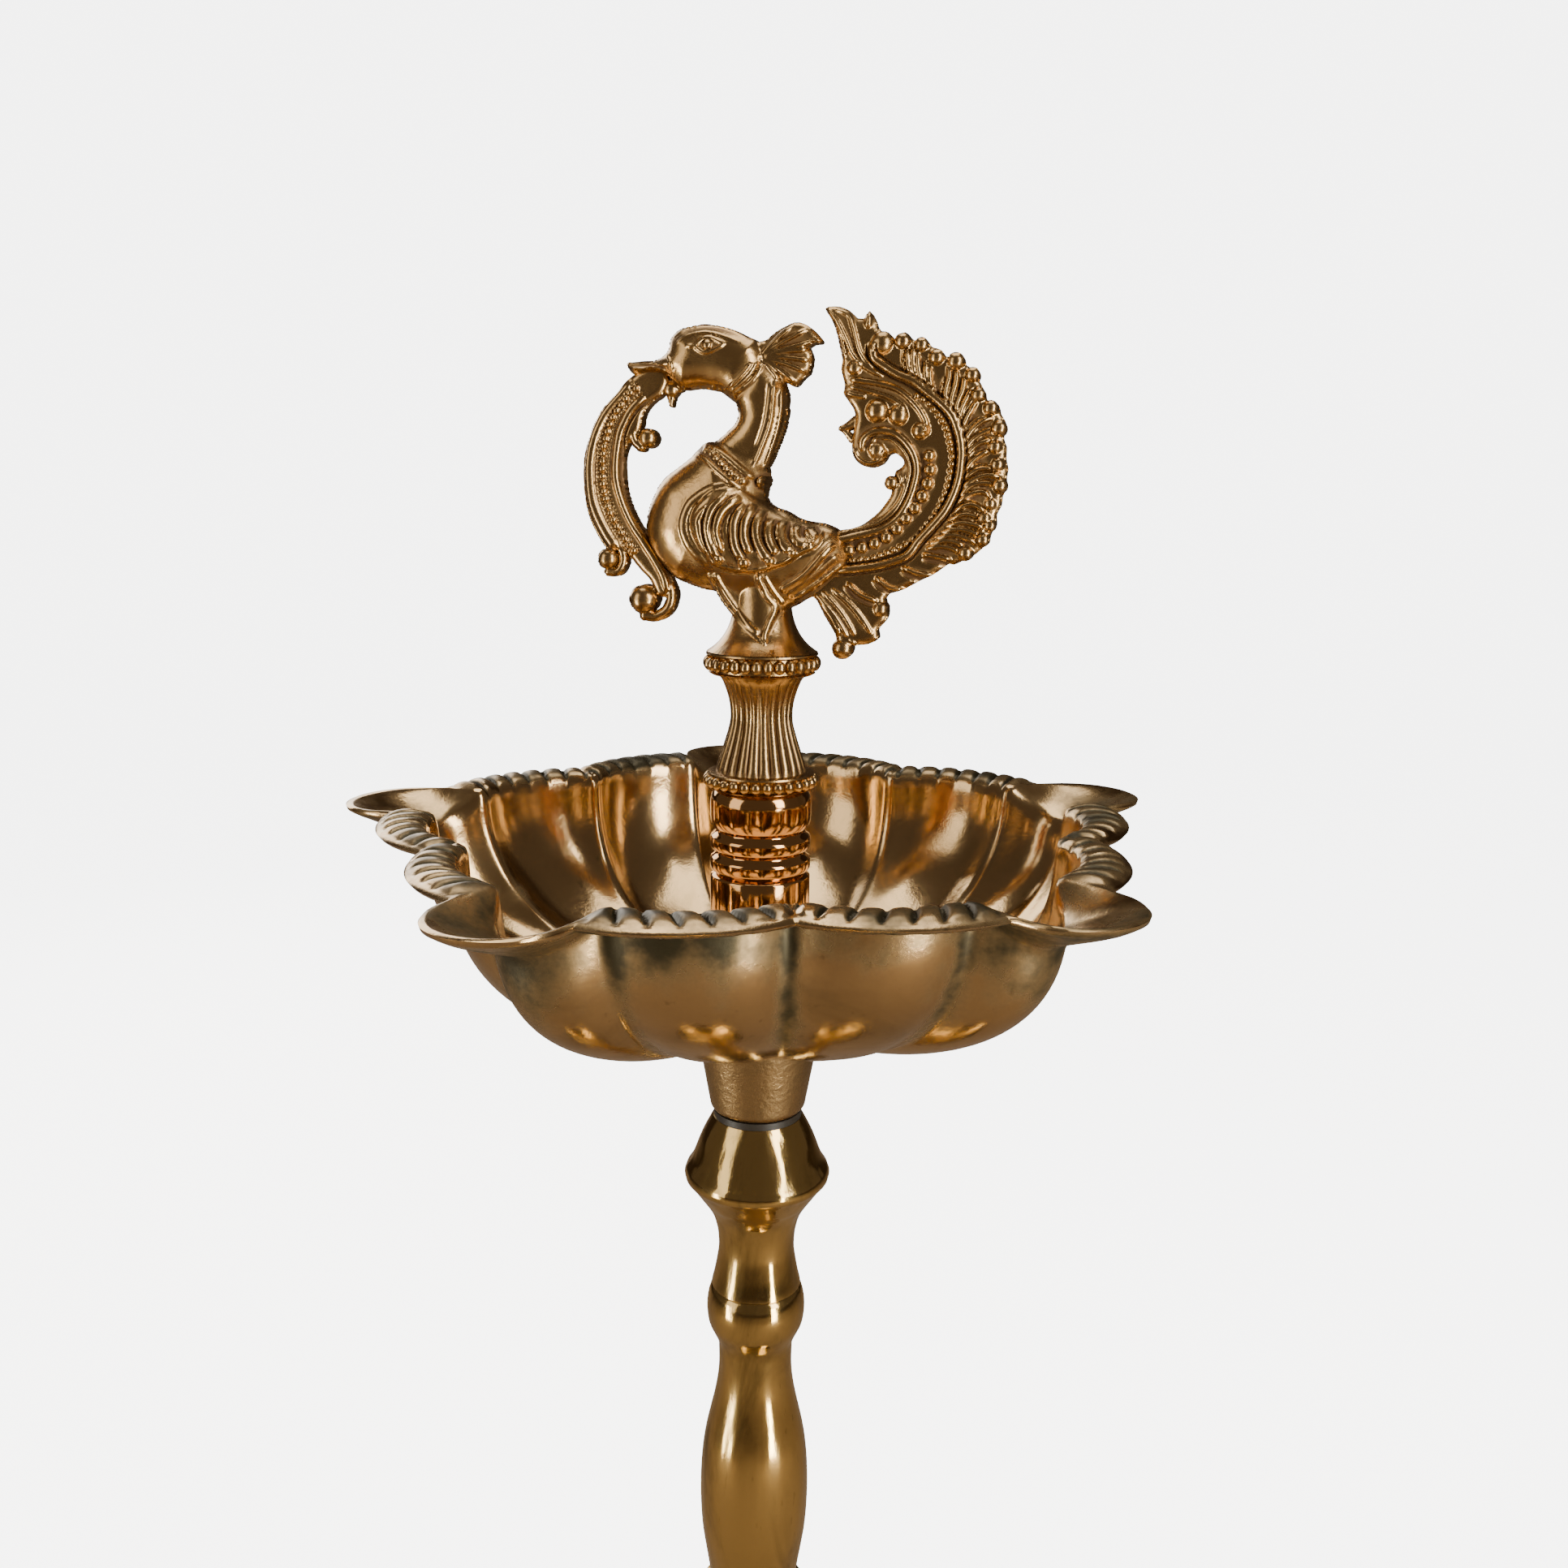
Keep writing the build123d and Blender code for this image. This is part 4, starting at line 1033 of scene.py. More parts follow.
        back = front[:, ::-1] + total
        starts = front.reshape(-1)
        ends = np.roll(front, -1, axis=1).reshape(-1)
        forward = starts.astype(np.int64) * total + ends
        lonely = ~np.isin(forward, ends.astype(np.int64) * total + starts)
        s, e = starts[lonely], ends[lonely]
        walls = np.stack([e, s, s + total, e + total], 1)
        faces = np.vstack([front, back, walls])
        x, z, y = px[used], pz[used], half[used]
        x, z, y = np.concatenate([x, x]), np.concatenate([z, z]), np.concatenate([-y, y])
        points = np.stack([x * math.cos(yaw) - y * math.sin(yaw),
                           x * math.sin(yaw) + y * math.cos(yaw), z], 1) * MM
        points[:, 2] += level
        mask = np.concatenate([recess[used], recess[used]])
        return from_arrays(name, points, faces, crease=60, recess=mask)


def blurred(field, reach):
    """A field averaged twice over a square of cells."""
    out = field.astype(float)
    for _ in range(2):
        for axis in (0, 1):
            total = np.zeros_like(out)
            for step in range(-reach, reach + 1):
                total += np.roll(out, step, axis=axis)
            out = total / (2 * reach + 1)
    return out


# outlines and lines of the casting: x towards the tail and z above the rim, in millimetres
HEAD = [
    (-22.5, 74.6), (-20, 74.95), (-18, 75.05), (-16.4, 75.75), (-15.55, 76.75), (-15.3, 78),
    (-14.75, 79), (-13.5, 79.9), (-12, 80.25), (-10, 80.55), (-8, 80.45), (-6, 80.05), (-4, 79.4),
    (-2, 78.45), (-0.9, 77.9), (0.3, 75.6), (0.2, 73.4), (-1.4, 70.8), (-3.2, 69.2), (-4.4, 68.5),
    (-5.75, 69.4), (-6.75, 70.1), (-8, 70.4), (-10, 70.7), (-12, 70.6), (-13.4, 70.6),
    (-15.0, 71.8), (-16.0, 72.8), (-18.5, 72.9), (-21.3, 72.9),
]
NECK = [
    (-4.6, 70), (-4.2, 67.6), (-4.1, 66.5), (-4.6, 65.25), (-6, 63.9), (-7.75, 62.5), (-9.4, 62.0),
    (-8.5, 59), (-5, 56.5), (0.3, 55.5), (0.9, 58.25), (1.75, 60), (2.6, 62), (3.4, 64), (3.9, 66),
    (4.05, 68), (4, 70), (2.9, 72.4), (0.6, 74.8), (-2, 74),
]
BODY = [
    (-9.1, 62.25), (-10.25, 61.4), (-11.6, 60.1), (-13, 59), (-14.5, 57.9), (-16, 56.75),
    (-17.25, 55.25), (-18, 53.75), (-18.75, 52), (-19.2, 50), (-19.25, 48), (-18.75, 46),
    (-17.75, 44), (-16.25, 42.25), (-14.5, 40.6), (-13, 39.9), (-10, 38.9), (-7, 38.4),
    (-3.5, 37.2), (1, 36.2), (4, 36.1), (5.5, 36.3), (7.25, 37.4), (9.5, 38.6), (12.5, 41.5),
    (14.6, 44), (14, 46.6), (12.6, 48.6), (11.5, 49.25), (10, 49.75), (8, 50), (6, 50.5), (4, 51.6),
    (2, 52.25), (0.75, 53.4), (0.6, 55), (0.9, 58), (-2, 60.5), (-6, 62.2),
]
PANEL = [
    (-8.2, 42.5), (-7.6, 39.6), (-6.6, 37.6), (-4.75, 35.25), (-2.4, 33.2), (0, 31.4), (2, 30.1),
    (3.6, 28.9), (2.9, 31.2), (3.0, 33.0), (4.1, 35.4), (5.6, 36.6), (8, 38.4), (7, 42), (0, 44),
]
CREST = [
    (-3.4, 75.6), (-0.9, 77.8), (0.25, 78.05), (2, 79.4), (4, 80.4), (5.5, 80.8), (7.6, 79.9),
    (9.5, 77.8), (8.4, 77.6), (7.3, 77.1), (7.9, 75.4), (7.4, 73), (6.6, 72.4), (5.2, 71),
    (3.6, 71.6), (1.4, 71.4), (-1, 72.5),
]
GARLAND = [
    (-18.6, 74.2), (-21.5, 72.7), (-24, 70.1), (-26, 68.1), (-27.4, 66.25), (-28.5, 64.25),
    (-29.4, 62), (-29.9, 60), (-30.1, 57.5), (-30, 54.5), (-29.6, 51.75), (-28.9, 49.5),
    (-27.9, 47.5), (-26.7, 45.6), (-25.2, 44.2), (-24.4, 45.2), (-22.6, 44.2), (-20.5, 41.8),
    (-18.75, 40), (-17.6, 37.6), (-15.6, 37.6), (-15.1, 40.4), (-16.8, 43.6), (-18.9, 46.9),
    (-20.9, 49.5), (-21.9, 51.5), (-22.6, 53.5), (-23.1, 56), (-23.2, 59), (-22.9, 60.9),
    (-22.2, 62.2), (-21.0, 63.2), (-20.2, 64.4), (-19.9, 66.1), (-19.25, 67.5), (-18, 68.75),
    (-16.75, 69.6), (-15.6, 71.6), (-16.2, 73.6),
]
TAIL = [
    (9.8, 82.75), (10.75, 81.25), (11.6, 79.25), (12.1, 77.25), (12.6, 75.25), (12.5, 73.5),
    (12.9, 72), (13.1, 71), (12.9, 70), (13.75, 68.75), (14.6, 67.5), (14.9, 66.2), (14.6, 64.2),
    (14.4, 62), (14.75, 60.25), (16, 59), (17.75, 58.6), (19.5, 59.25), (20.4, 60.6), (21.25, 60.9),
    (22.75, 59.75), (22.4, 58.6), (21.6, 58.2), (21.2, 56.4), (20.9, 54.6), (20, 53), (18.75, 51.5),
    (16.5, 49.75), (14.5, 49), (12.6, 48.7), (10, 47.5), (7.6, 44), (7.6, 39.5), (9.4, 37.2),
    (10.4, 35.2), (12.4, 31.9), (12.9, 29.6), (14.6, 30), (16.4, 30.4), (17.75, 30.55),
    (19.5, 31.5), (19.3, 32.9), (20.6, 34.5), (21, 36), (20.4, 38), (20.9, 38.7), (23.25, 39.5),
    (26, 41), (28, 42), (30.5, 43.75), (31.2, 43.6), (32.5, 44.2), (34.1, 45.0), (35.3, 46.0),
    (36.5, 47.3), (37.0, 48.8), (37.7, 49.9), (37.6, 51.5), (38.3, 53.0), (38.4, 54.4),
    (39.0, 55.9), (38.9, 57.3), (39.1, 58.6), (38.7, 60.2), (38.7, 62.0), (38.2, 63.3),
    (38.5, 65.4), (37.6, 67.0), (37.2, 68.3), (35.5, 68.9), (35.1, 70.1), (34.0, 72.0),
    (33.0, 73.5), (31.8, 74.4), (30.6, 75.7), (28.9, 75.5), (27.7, 76.6), (26.7, 76.9),
    (25.6, 78.0), (23.9, 77.9), (22.5, 79.1), (20.7, 78.2), (18.4, 79.6), (17.6, 81.2),
    (16.75, 82.4), (15.9, 81.2), (15, 81.25), (13.5, 82.5), (11.5, 83.1),
]
OUTER_RIB = [
    (17.25, 77.75), (17.6, 75.5), (19, 74.25), (21.5, 72.75), (24, 71.75), (26, 70.25), (28, 68.75),
    (30, 66.75), (31.25, 64), (31.75, 61.5), (31.75, 59.5), (31.5, 57), (30.75, 54.5), (29.5, 52),
    (27.5, 49.5), (25.5, 47.25), (23.75, 45), (20, 43.5), (16, 42.75), (12, 42.3),
]
INNER_RIB = [
    (16.1, 61), (16.25, 62.75), (17.5, 63.9), (19.5, 64.25), (21.5, 63.75), (23.25, 62.25),
    (24.5, 60.25), (24.9, 58), (24.5, 55.75), (23.75, 53.5), (22.25, 51), (20, 49.25), (18, 48.5),
    (14, 47.5), (11, 46.6),
]
LARGE_BEADS = [
    (26.6, 61.5), (27, 59), (26.8, 56.8), (26.1, 54.7), (25, 52.7), (23.6, 51), (22.2, 49.3),
    (20.6, 47.9), (19, 47), (17.2, 46.3), (15.4, 45.8), (13.4, 45.4),
]
SMALL_BEADS = [
    (24, 69.75), (26, 68.75), (27.5, 67.25), (28.6, 65.75), (29.5, 64), (30, 62), (30.4, 60),
    (30.1, 57.75), (29.75, 55.5), (29.1, 53.75), (27.9, 51.25), (25.75, 48.5), (24.5, 47.25),
    (22.5, 46.25), (21, 45.5), (19, 44.75), (17.5, 44.25), (14.5, 43.9),
]
TAIL_BALLS = [
    (22.1, 77.7, 1.3), (25.0, 77.2, 1.15), (27.4, 75.3, 1.3), (30.4, 74.7, 1.4), (33.0, 72.7, 1.2),
    (34.0, 69.7, 1.2), (36.0, 67.7, 1.25), (37.4, 64.7, 1.3), (36.9, 61.9, 1.15),
    (37.4, 59.2, 1.15), (37.9, 56.0, 1.25), (36.5, 53.2, 1.05), (35.7, 51.0, 1.1),
    (36.6, 49.8, 1.0), (35.6, 47.6, 1.1), (33.0, 45.5, 1.25),
]
TAIL_FEATHERS = [
    [(23.8, 71.4), (23.1, 74.1), (22.8, 76.8)],
    [(24.8, 70.7), (23.9, 73.8), (23.8, 77.2)],
    [(25.9, 69.8), (24.8, 73.1), (24.4, 76.3)],
    [(27.2, 69.1), (25.9, 72.2), (25.8, 74.9)],
    [(27.7, 68.7), (26.6, 71.5), (26.4, 74.1)],
    [(29.3, 67.2), (29.0, 69.9), (29.5, 72.5), (29.2, 74.1)],
    [(29.8, 66.1), (30.0, 69.3), (30.6, 71.7), (30.4, 73.9)],
    [(30.5, 64.7), (30.8, 68.0), (31.7, 70.6), (31.9, 72.7)],
    [(31.1, 63.6), (31.4, 67.0), (32.5, 69.6), (33.2, 70.9)],
    [(31.4, 62.8), (32.2, 65.7), (33.2, 67.7), (34.0, 68.9)],
    [(31.6, 61.5), (33.2, 64.3), (35.1, 65.9), (36.6, 66.2)],
    [(31.8, 60.7), (33.6, 63.1), (35.8, 64.4), (37.7, 64.7)],
    [(32.0, 59.9), (34.0, 62.1), (35.8, 62.8), (36.9, 62.8)],
    [(32.0, 57.5), (33.5, 59.7), (35.3, 61.0), (36.5, 61.4)],
    [(32.0, 56.7), (34.1, 58.3), (36.1, 58.6), (37.8, 58.1)],
    [(31.9, 55.4), (34.0, 57.0), (36.1, 57.6), (38.2, 57.2)],
    [(31.8, 54.3), (33.6, 56.0), (36.0, 56.4), (37.8, 55.7)],
    [(31.5, 53.3), (33.5, 54.7), (35.5, 55.0), (36.6, 53.9)],
    [(31.1, 52.0), (33.0, 53.0), (34.8, 52.7), (36.1, 51.5)],
    [(30.5, 50.6), (32.5, 51.5), (34.5, 51.2), (36.4, 50.2)],
    [(29.9, 49.6), (32.2, 50.2), (34.5, 49.9), (36.1, 49.3)],
    [(29.2, 48.6), (31.5, 49.2), (34.0, 48.8), (35.8, 47.8)],
    [(28.4, 47.7), (30.9, 48.3), (33.2, 47.8), (35.0, 46.8)],
    [(27.6, 46.8), (29.9, 47.4), (32.0, 47.0), (33.0, 46.0)],
    [(26.7, 46.1), (29.2, 46.5), (31.2, 46.1), (32.5, 45.2)],
]
GARLAND_BEADS = [
    (-20.25, 71), (-21.75, 70), (-22.9, 68.6), (-24.5, 66.5), (-25.6, 64), (-26.3, 61.25),
    (-26.55, 58.5), (-26.55, 55.5), (-25.9, 52.5), (-24.9, 50), (-23, 47), (-21.0, 44.4),
]
FEATHERS = [
    [(-4.25, 54), (-6.5, 52.25), (-7.4, 50), (-7.4, 48), (-6.75, 45.75), (-5.75, 43.75)],
    [(-2.5, 53.75), (-5, 51.75), (-6, 49.5), (-6.1, 47.5), (-5.2, 45)],
    [(-1.75, 52.5), (-3, 50.5), (-3.25, 48.5), (-2.9, 46), (-1.75, 43.75)],
    [(-0.4, 52.6), (-1.5, 50), (-1.6, 47.5), (-0.6, 45)],
    [(0.75, 51.75), (0.25, 50), (0.25, 48), (1, 46), (2.6, 43.75)],
    [(2.25, 50.5), (2.1, 48.6), (2.7, 46.6), (3.75, 45.0)],
    [(4.2, 50.2), (4.0, 48.6), (4.6, 46.8), (6.0, 45.4)],
    [(6.4, 49.6), (6.2, 48.2), (7.0, 47.0), (8.4, 46.6)],
    [(8.4, 49.2), (8.6, 48.2), (9.8, 47.6)],
]
WING = [
    (-3.5, 55.3), (-7.4, 54.4), (-10, 51.6), (-10.4, 48.6), (-9.2, 45.8), (-7.4, 43.4),
    (-5.75, 42.6), (-3.75, 42.1), (-1.25, 41.9), (1.25, 42.1), (3, 42.75), (5, 43.4),
    (6.25, 44.4), (7.75, 45.2), (9.75, 46), (10.6, 48), (9.4, 49.3), (6, 50.0), (3, 51.2),
    (0.6, 53),
]
NECKLACE = [
    (-9.4, 61.3), (-7.9, 61), (-6.75, 59.9), (-5.6, 58.9), (-4.5, 57.9), (-3.5, 57.1),
    (-1.6, 55.8),
]
CREST_ROOT = (-0.4, 75.4)
CREST_TIPS = [
    (9.2, 77.9), (7.0, 79.6), (4.6, 80.2), (7.4, 76.6), (7.4, 74.9), (7.0, 73.2), (5.2, 71.6),
    (2.9, 71.9),
]
# place and radius
WING_BALLS = [
    (-5.7, 43.9, 0.8), (-1.6, 43.4, 1.0), (2.7, 43.8, 0.85), (6.2, 45.2, 0.7), (8.75, 46.75, 0.7),
]
# place, radius and the half-thickness of what it stands on
TAIL_KNOBS = [
    (18.9, 77.4, 1.9, 1.3), (14.7, 73.8, 1.3, 1.5), (18.4, 67.25, 1.9, 1.5), (21.75, 66.6, 1.7, 1.5),
    (25.25, 64.25, 1.4, 1.6), (18.5, 61.25, 1.45, 1.6), (20.9, 56.25, 1.1, 1.5),
    (13.6, 29.7, 1.75, 0.9), (19.6, 36.3, 1.35, 1.2), (12.7, 64.6, 0.5, 0.8),
]
LEAF_EDGES = [
    [(26.2, 45.2), (28.6, 44.9), (30.9, 44.4)],
    [(23.0, 43.1), (25.9, 42.1), (29.2, 41.8)],
    [(18.7, 41.5), (21.3, 39.8), (24.8, 39.2)],
    [(14.2, 40.5), (16.5, 38.6), (19.3, 37.6)],
]
DROOPING_RIBS = [
    ((9, 38.5), (14.5, 31.75)), ((10.25, 39), (15.75, 32)), ((11.75, 39.5), (17.5, 33.5)),
    ((9.6, 37.4), (13.2, 32.0)), ((13.0, 38.6), (18.4, 32.4)),
]
# points, width, rise and the share of the line over which each end tapers
BODY_RIDGES = [
    # cloth panel borders
    ([(-6.9, 41.6), (-6, 39.5), (-4.5, 37.25), (-2.75, 35), (-0.75, 33.1), (0.75, 32.25)], 1.1,
     0.5, 0.05),
    ([(-7.8, 41.6), (-7.1, 39), (-5.6, 36.6), (-3.6, 34.4), (-1.2, 32.5), (1.4, 31.0)], 0.9, 0.5,
     0.05),
    ([(0.25, 41.6), (1.5, 38.5), (3.1, 36.4), (2.25, 34), (1.6, 32), (1.9, 30.4)], 1.1, 0.6, 0.05),
    ([(1.4, 41.6), (2.8, 38.9), (4.2, 36.9)], 0.8, 0.4, 0.05),
    # borders of the wing
    ([(-3.25, 55.5), (-7, 55), (-10.25, 53), (-11.5, 50.75), (-11.75, 49), (-11.25, 47), (-10, 45),
      (-8, 43)], 1.4, 0.35, 0.1),
    ([(-4.25, 54.75), (-8.75, 50.75), (-9, 48.75), (-8.5, 46.5), (-7.4, 44.4)], 1.2, 0.4, 0.1),
    ([(-7.2, 43.6), (-5.75, 42.9), (-3.75, 42.4), (-1.25, 42.2), (1.25, 42.4), (3, 43.05),
      (5, 43.8), (7.75, 45.5), (9.75, 46.4)], 0.9, 0.45, 0.05),
    # sash over the rump
    ([(12.3, 46.6), (8, 41.7), (4, 39)], 1.3, 0.7, 0.05),
    ([(13.2, 44.8), (8.6, 40.9), (5, 38.4)], 1.5, 0.5, 0.05),
    ([(13.9, 43.3), (9.3, 39.9), (6, 37.8)], 1.0, 0.6, 0.05),
    # necklace and neck ridges
    ([(-9.9, 62.0), (-8, 61.9), (-5.6, 60.4), (-3, 58.4), (-0.6, 56.6)], 1.0, 0.55, 0.05),
    ([(-11, 60.6), (-8.6, 59.6), (-6.4, 57.9), (-4, 56.1), (-2, 54.8)], 0.9, 0.55, 0.05),
    ([(2.25, 72), (2.05, 69), (1.6, 65.25), (0.25, 61.5), (-1.1, 58.5)], 0.6, 0.35, 0.1),
    ([(3.25, 70.6), (3.2, 67), (2.6, 64), (1.5, 60.75), (0.4, 58)], 0.7, 0.4, 0.1),
    ([(1.2, 71.5), (0.9, 68), (0.3, 64.8), (-0.9, 61.4)], 0.5, -0.2, 0.1),
    # face: beak line, brow, eye
    ([(-22.2, 74.2), (-20, 74.1), (-17.6, 74.2), (-15.4, 73.6)], 0.55, -0.4, 0.1),
    ([(-16.2, 76.1), (-15.0, 75.2), (-14.4, 73.6), (-14.2, 72.0)], 0.6, 0.4, 0.2),
    ([(-13.75, 77.4), (-12, 78.6), (-9, 79.25), (-6, 78.6), (-3.25, 77.5)], 0.7, 0.35, 0.2),
    ([(-14.2, 78.3), (-12.4, 79.4), (-9, 79.95), (-5.6, 79.3), (-2.6, 78.1)], 0.5, -0.25, 0.2),
    ([(-12.1, 77.0), (-10.5, 77.1), (-8.6, 78.4), (-5.6, 77.3)], 0.7, 0.42, 0.12),
    ([(-10.7, 77.0), (-8.6, 76.0), (-5.6, 77.3)], 0.65, 0.38, 0.12),
]
# the same for the tail's ribs, rims and leaves
TAIL_RIDGES = [
    (OUTER_RIB, 1.5, 0.95, 0.04),
    (INNER_RIB, 1.3, 0.8, 0.04),
    ([(14, 72), (18, 71.5), (21.5, 70.5), (24, 68.6), (25.8, 66.2), (26.6, 63.6)], 1.0, 0.6, 0.05),
    ([(13.75, 71), (17, 70.3), (20.5, 69.2), (23, 67.6)], 0.8, 0.5, 0.1),
    ([(13.4, 69.9), (15, 69.6), (16.6, 69.4)], 0.8, 0.5, 0.1),
    # rim of the inner crescent
    ([(22.9, 57.6), (23.1, 55.6), (22.2, 53.2), (20.4, 51.2), (18.4, 49.9), (16, 49.1),
      (13, 48.5)], 0.7, 0.4, 0.05),
    ([(14.9, 61.6), (15.4, 60.2), (16.8, 59.3), (18.4, 59.4), (19.6, 60.2), (19.9, 61.6)], 0.8,
     0.5, 0.1),
    ([(20.0, 57.6), (21.0, 58.0), (22.2, 57.2), (22.6, 55.8)], 0.7, 0.5, 0.1),
    # top leaf with its mid rib and side lines
    ([(10.2, 82.5), (11.8, 80.6), (13.2, 78.2), (14.4, 75.8), (16.4, 73.9), (19.25, 72.4)], 0.9,
     0.6, 0.1),
    ([(11.5, 82.6), (13.5, 81.75), (14.25, 80), (14.75, 78.25), (15.4, 76.25), (16.5, 74.7),
      (18, 73.4)], 0.8, 0.55, 0.1),
    ([(11.6, 80.4), (12.6, 77.6), (13.2, 75)], 0.7, 0.45, 0.15),
    ([(16.75, 82.1), (16.7, 80.9), (16.6, 79.6)], 1.3, 0.6, 0.3),
    # curl at the foot of the tail
    ([(14.8, 31.4), (15.7, 30.4), (15.5, 29), (14.4, 28.3)], 0.6, 0.4, 0.2),
]


def offset_line(points, distance):
    """A line beside another, to its left where the distance is positive."""
    line = catmull(points, 1.0)
    slope = np.gradient(line, axis=0)
    slope /= np.linalg.norm(slope, axis=1)[:, None]
    return (line + distance * np.stack([-slope[:, 1], slope[:, 0]], 1))[::2]


def shape_body(cell):
    """Breast, wing, neck, head, crest and the cloth panel over the legs."""
    body = Relief(*BODY_GRID, cell)
    body.solid(PANEL, 4.4, 2.0, wall=0.5)
    body.solid(BODY, 7.0, 9.0, wall=0.08, blend=1.2)
    body.solid(CREST, 2.0, 1.2, wall=0.4)
    body.solid(NECK, 3.6, 3.6, wall=0.12, blend=1.4)
    body.solid(HEAD, 4.4, 4.6, wall=0.1, blend=0.6)
    body.wrap(PANEL)
    for ridge in BODY_RIDGES:
        body.ridge(*ridge)
    # wing: raised pad, feathers and balls at their tips
    pad = Relief(*BODY_GRID, cell)
    pad.solid(WING, 1.0, 1.6, wall=0.0)
    body.height += pad.height
    for feather in FEATHERS:
        body.ridge(feather, 1.7, 0.75, 0.12)
        for side in (0.8, -0.8):
            body.ridge(offset_line(feather, side), 0.45, -0.35, 0.2)
    for x, z, r in WING_BALLS:
        body.bead(x, z, r, 1.0)
    # necklace and its boss
    body.beads(NECKLACE, 0.62, 1.25, 1.0)
    body.bead(0.75, 56.0, 1.2, 1.5)
    # collar and throat frill
    for shift in (0.0, 1.1, 2.2):
        body.ridge([(0.4 - shift * 0.75, 74.9 - shift * 0.2), (-0.8 - shift * 0.9, 72.6),
                    (-2.6 - shift, 70.8), (-4.9 - shift * 0.9, 69.4)], 0.75, 0.45, 0.1)
    for place in range(5):
        body.bead(-8.0 + place * 0.9, 70.5 - 0.28 * place, 0.5, 1.0)
    # eye
    body.bead(-8.5, 77.2, 0.8, 0.75)
    # wattle
    body.knob(-15.2, 70.6, 1.35, 0.6)
    body.strand([(-15.2, 70.6), (-15.2, 69.2), (-15.2, 68.1)], 1.2, 1.3, 0.75)
    body.knob(-13.9, 70.9, 0.8, 0.6)
    # crest ribs
    for tip in CREST_TIPS:
        bend = ((CREST_ROOT[0] + tip[0]) / 2, (CREST_ROOT[1] + tip[1]) / 2 + 0.25)
        body.ridge([CREST_ROOT, bend, tip], 0.85, 0.5, 0.15)
    return body


def shape_garland(cell):
    """The beaded garland from the beak to the breast, with its scrolls."""
    garland = Relief(*GARLAND_GRID, cell)
    garland.solid(GARLAND, 1.9, 1.2, wall=0.5)
    garland.strand([(-18, 70), (-20.4, 68), (-21.4, 66), (-21.6, 64.25), (-21.25, 62.5),
                    (-20.25, 61.5)], 0.8, 1.9)
    garland.strand([(-24.9, 46.6), (-23.6, 44.6), (-23.5, 42.8), (-24.4, 41.4), (-26, 41.3)], 0.8,
                   1.7)
    garland.strand([(-16.4, 40.8), (-15.2, 38.0), (-15.8, 35.5), (-17.6, 34.2), (-19.8, 34.2)],
                   0.95, 1.9)
    garland.knob(-19.1, 62.9, 1.6, 0.9)
    garland.knob(-26, 43.4, 1.75, 1.0)
    garland.knob(-19.9, 36.9, 2.4, 1.0)
    outer = [(-21.6, 72.0), (-24.2, 69.2), (-26.4, 66.4), (-28.0, 62.8), (-28.75, 59), (-28.8, 56),
             (-28.35, 52.5), (-27.2, 49.6), (-25.6, 46.8), (-24.2, 45.0)]
    garland.ridge(outer, 1.7, 0.6, 0.04)
    garland.ridge(offset_line(outer, -0.95), 0.45, -0.35, 0.04)
    inner = [(-19.3, 69.6), (-21.6, 67.4), (-22.9, 65.2), (-23.75, 63.0), (-24.35, 58), (-24, 55),
             (-23, 52), (-21.5, 49), (-19.5, 46), (-17.5, 43), (-16.2, 40.5), (-15.8, 38.25)]
    garland.ridge(inner, 1.4, 0.6, 0.04)
    garland.ridge(offset_line(inner, 0.85), 0.45, -0.35, 0.04)
    garland.beads(GARLAND_BEADS, 0.62, 1.2, 1.1)
    for side in (0.85, -0.85):
        garland.beads(offset_line(GARLAND_BEADS, side), 0.26, 0.62, 1.0)
    return garland


def shape_tail(cell):
    """The raised crescent tail: ribs, beads, scrolls, feathers with balls at their tips, leaves."""
    tail = Relief(*TAIL_GRID, cell)
    tail.solid(TAIL, 2.0, 1.3, wall=0.5)
    tail.strand([(22.6, 58), (23.1, 56), (22.5, 53.75)], 0.7, 1.8)
    for x, z, r in TAIL_BALLS:
        tail.knob(x, z, r, 1.6)
    for x, z, r, base in TAIL_KNOBS:
        tail.knob(x, z, r, base)
    tail.strand([(14.9, 65.6), (13.6, 64.9), (12.5, 64.6)], 1.0, 1.4, 0.6)
    tail.strand([(14.4, 63), (13.4, 64.0), (12.5, 64.6)], 0.7, 1.2, 0.6)
    # feathers: fine ridges that leave the outer rib along it and curve out to the balls
    for feather in TAIL_FEATHERS:
        tail.ridge(feather, 0.95, 0.8, 0.2)
        tail.ridge(offset_line(feather, 0.75), 0.5, 0.4, 0.3)
    for x, z, r in TAIL_BALLS:
        tail.clear(x, z, r)
    for ridge in TAIL_RIDGES:
        tail.ridge(*ridge)
    tail.ridge(offset_line(OUTER_RIB, 0.85), 0.4, -0.4, 0.04)
    tail.ridge(offset_line(OUTER_RIB, -0.85), 0.4, -0.4, 0.04)
    tail.ridge(offset_line(INNER_RIB, -1.1), 0.6, 0.45, 0.06)
    tail.beads(LARGE_BEADS, 1.0, 2.1, 1.0)
    tail.beads(SMALL_BEADS, 0.5, 1.12, 1.1)
    # lower leaves and drooping ribs
    for edge in LEAF_EDGES:
        tail.ridge(edge, 0.9, 0.7, 0.15)
        tail.ridge(offset_line(edge, -0.9), 0.9, -0.4, 0.2)
    for base, tip in DROOPING_RIBS:
        middle = ((base[0] + tip[0]) / 2 + 0.35, (base[1] + tip[1]) / 2 + 0.2)
        tail.ridge([base, middle, tip], 0.9, 0.5, 0.15)
    return tail


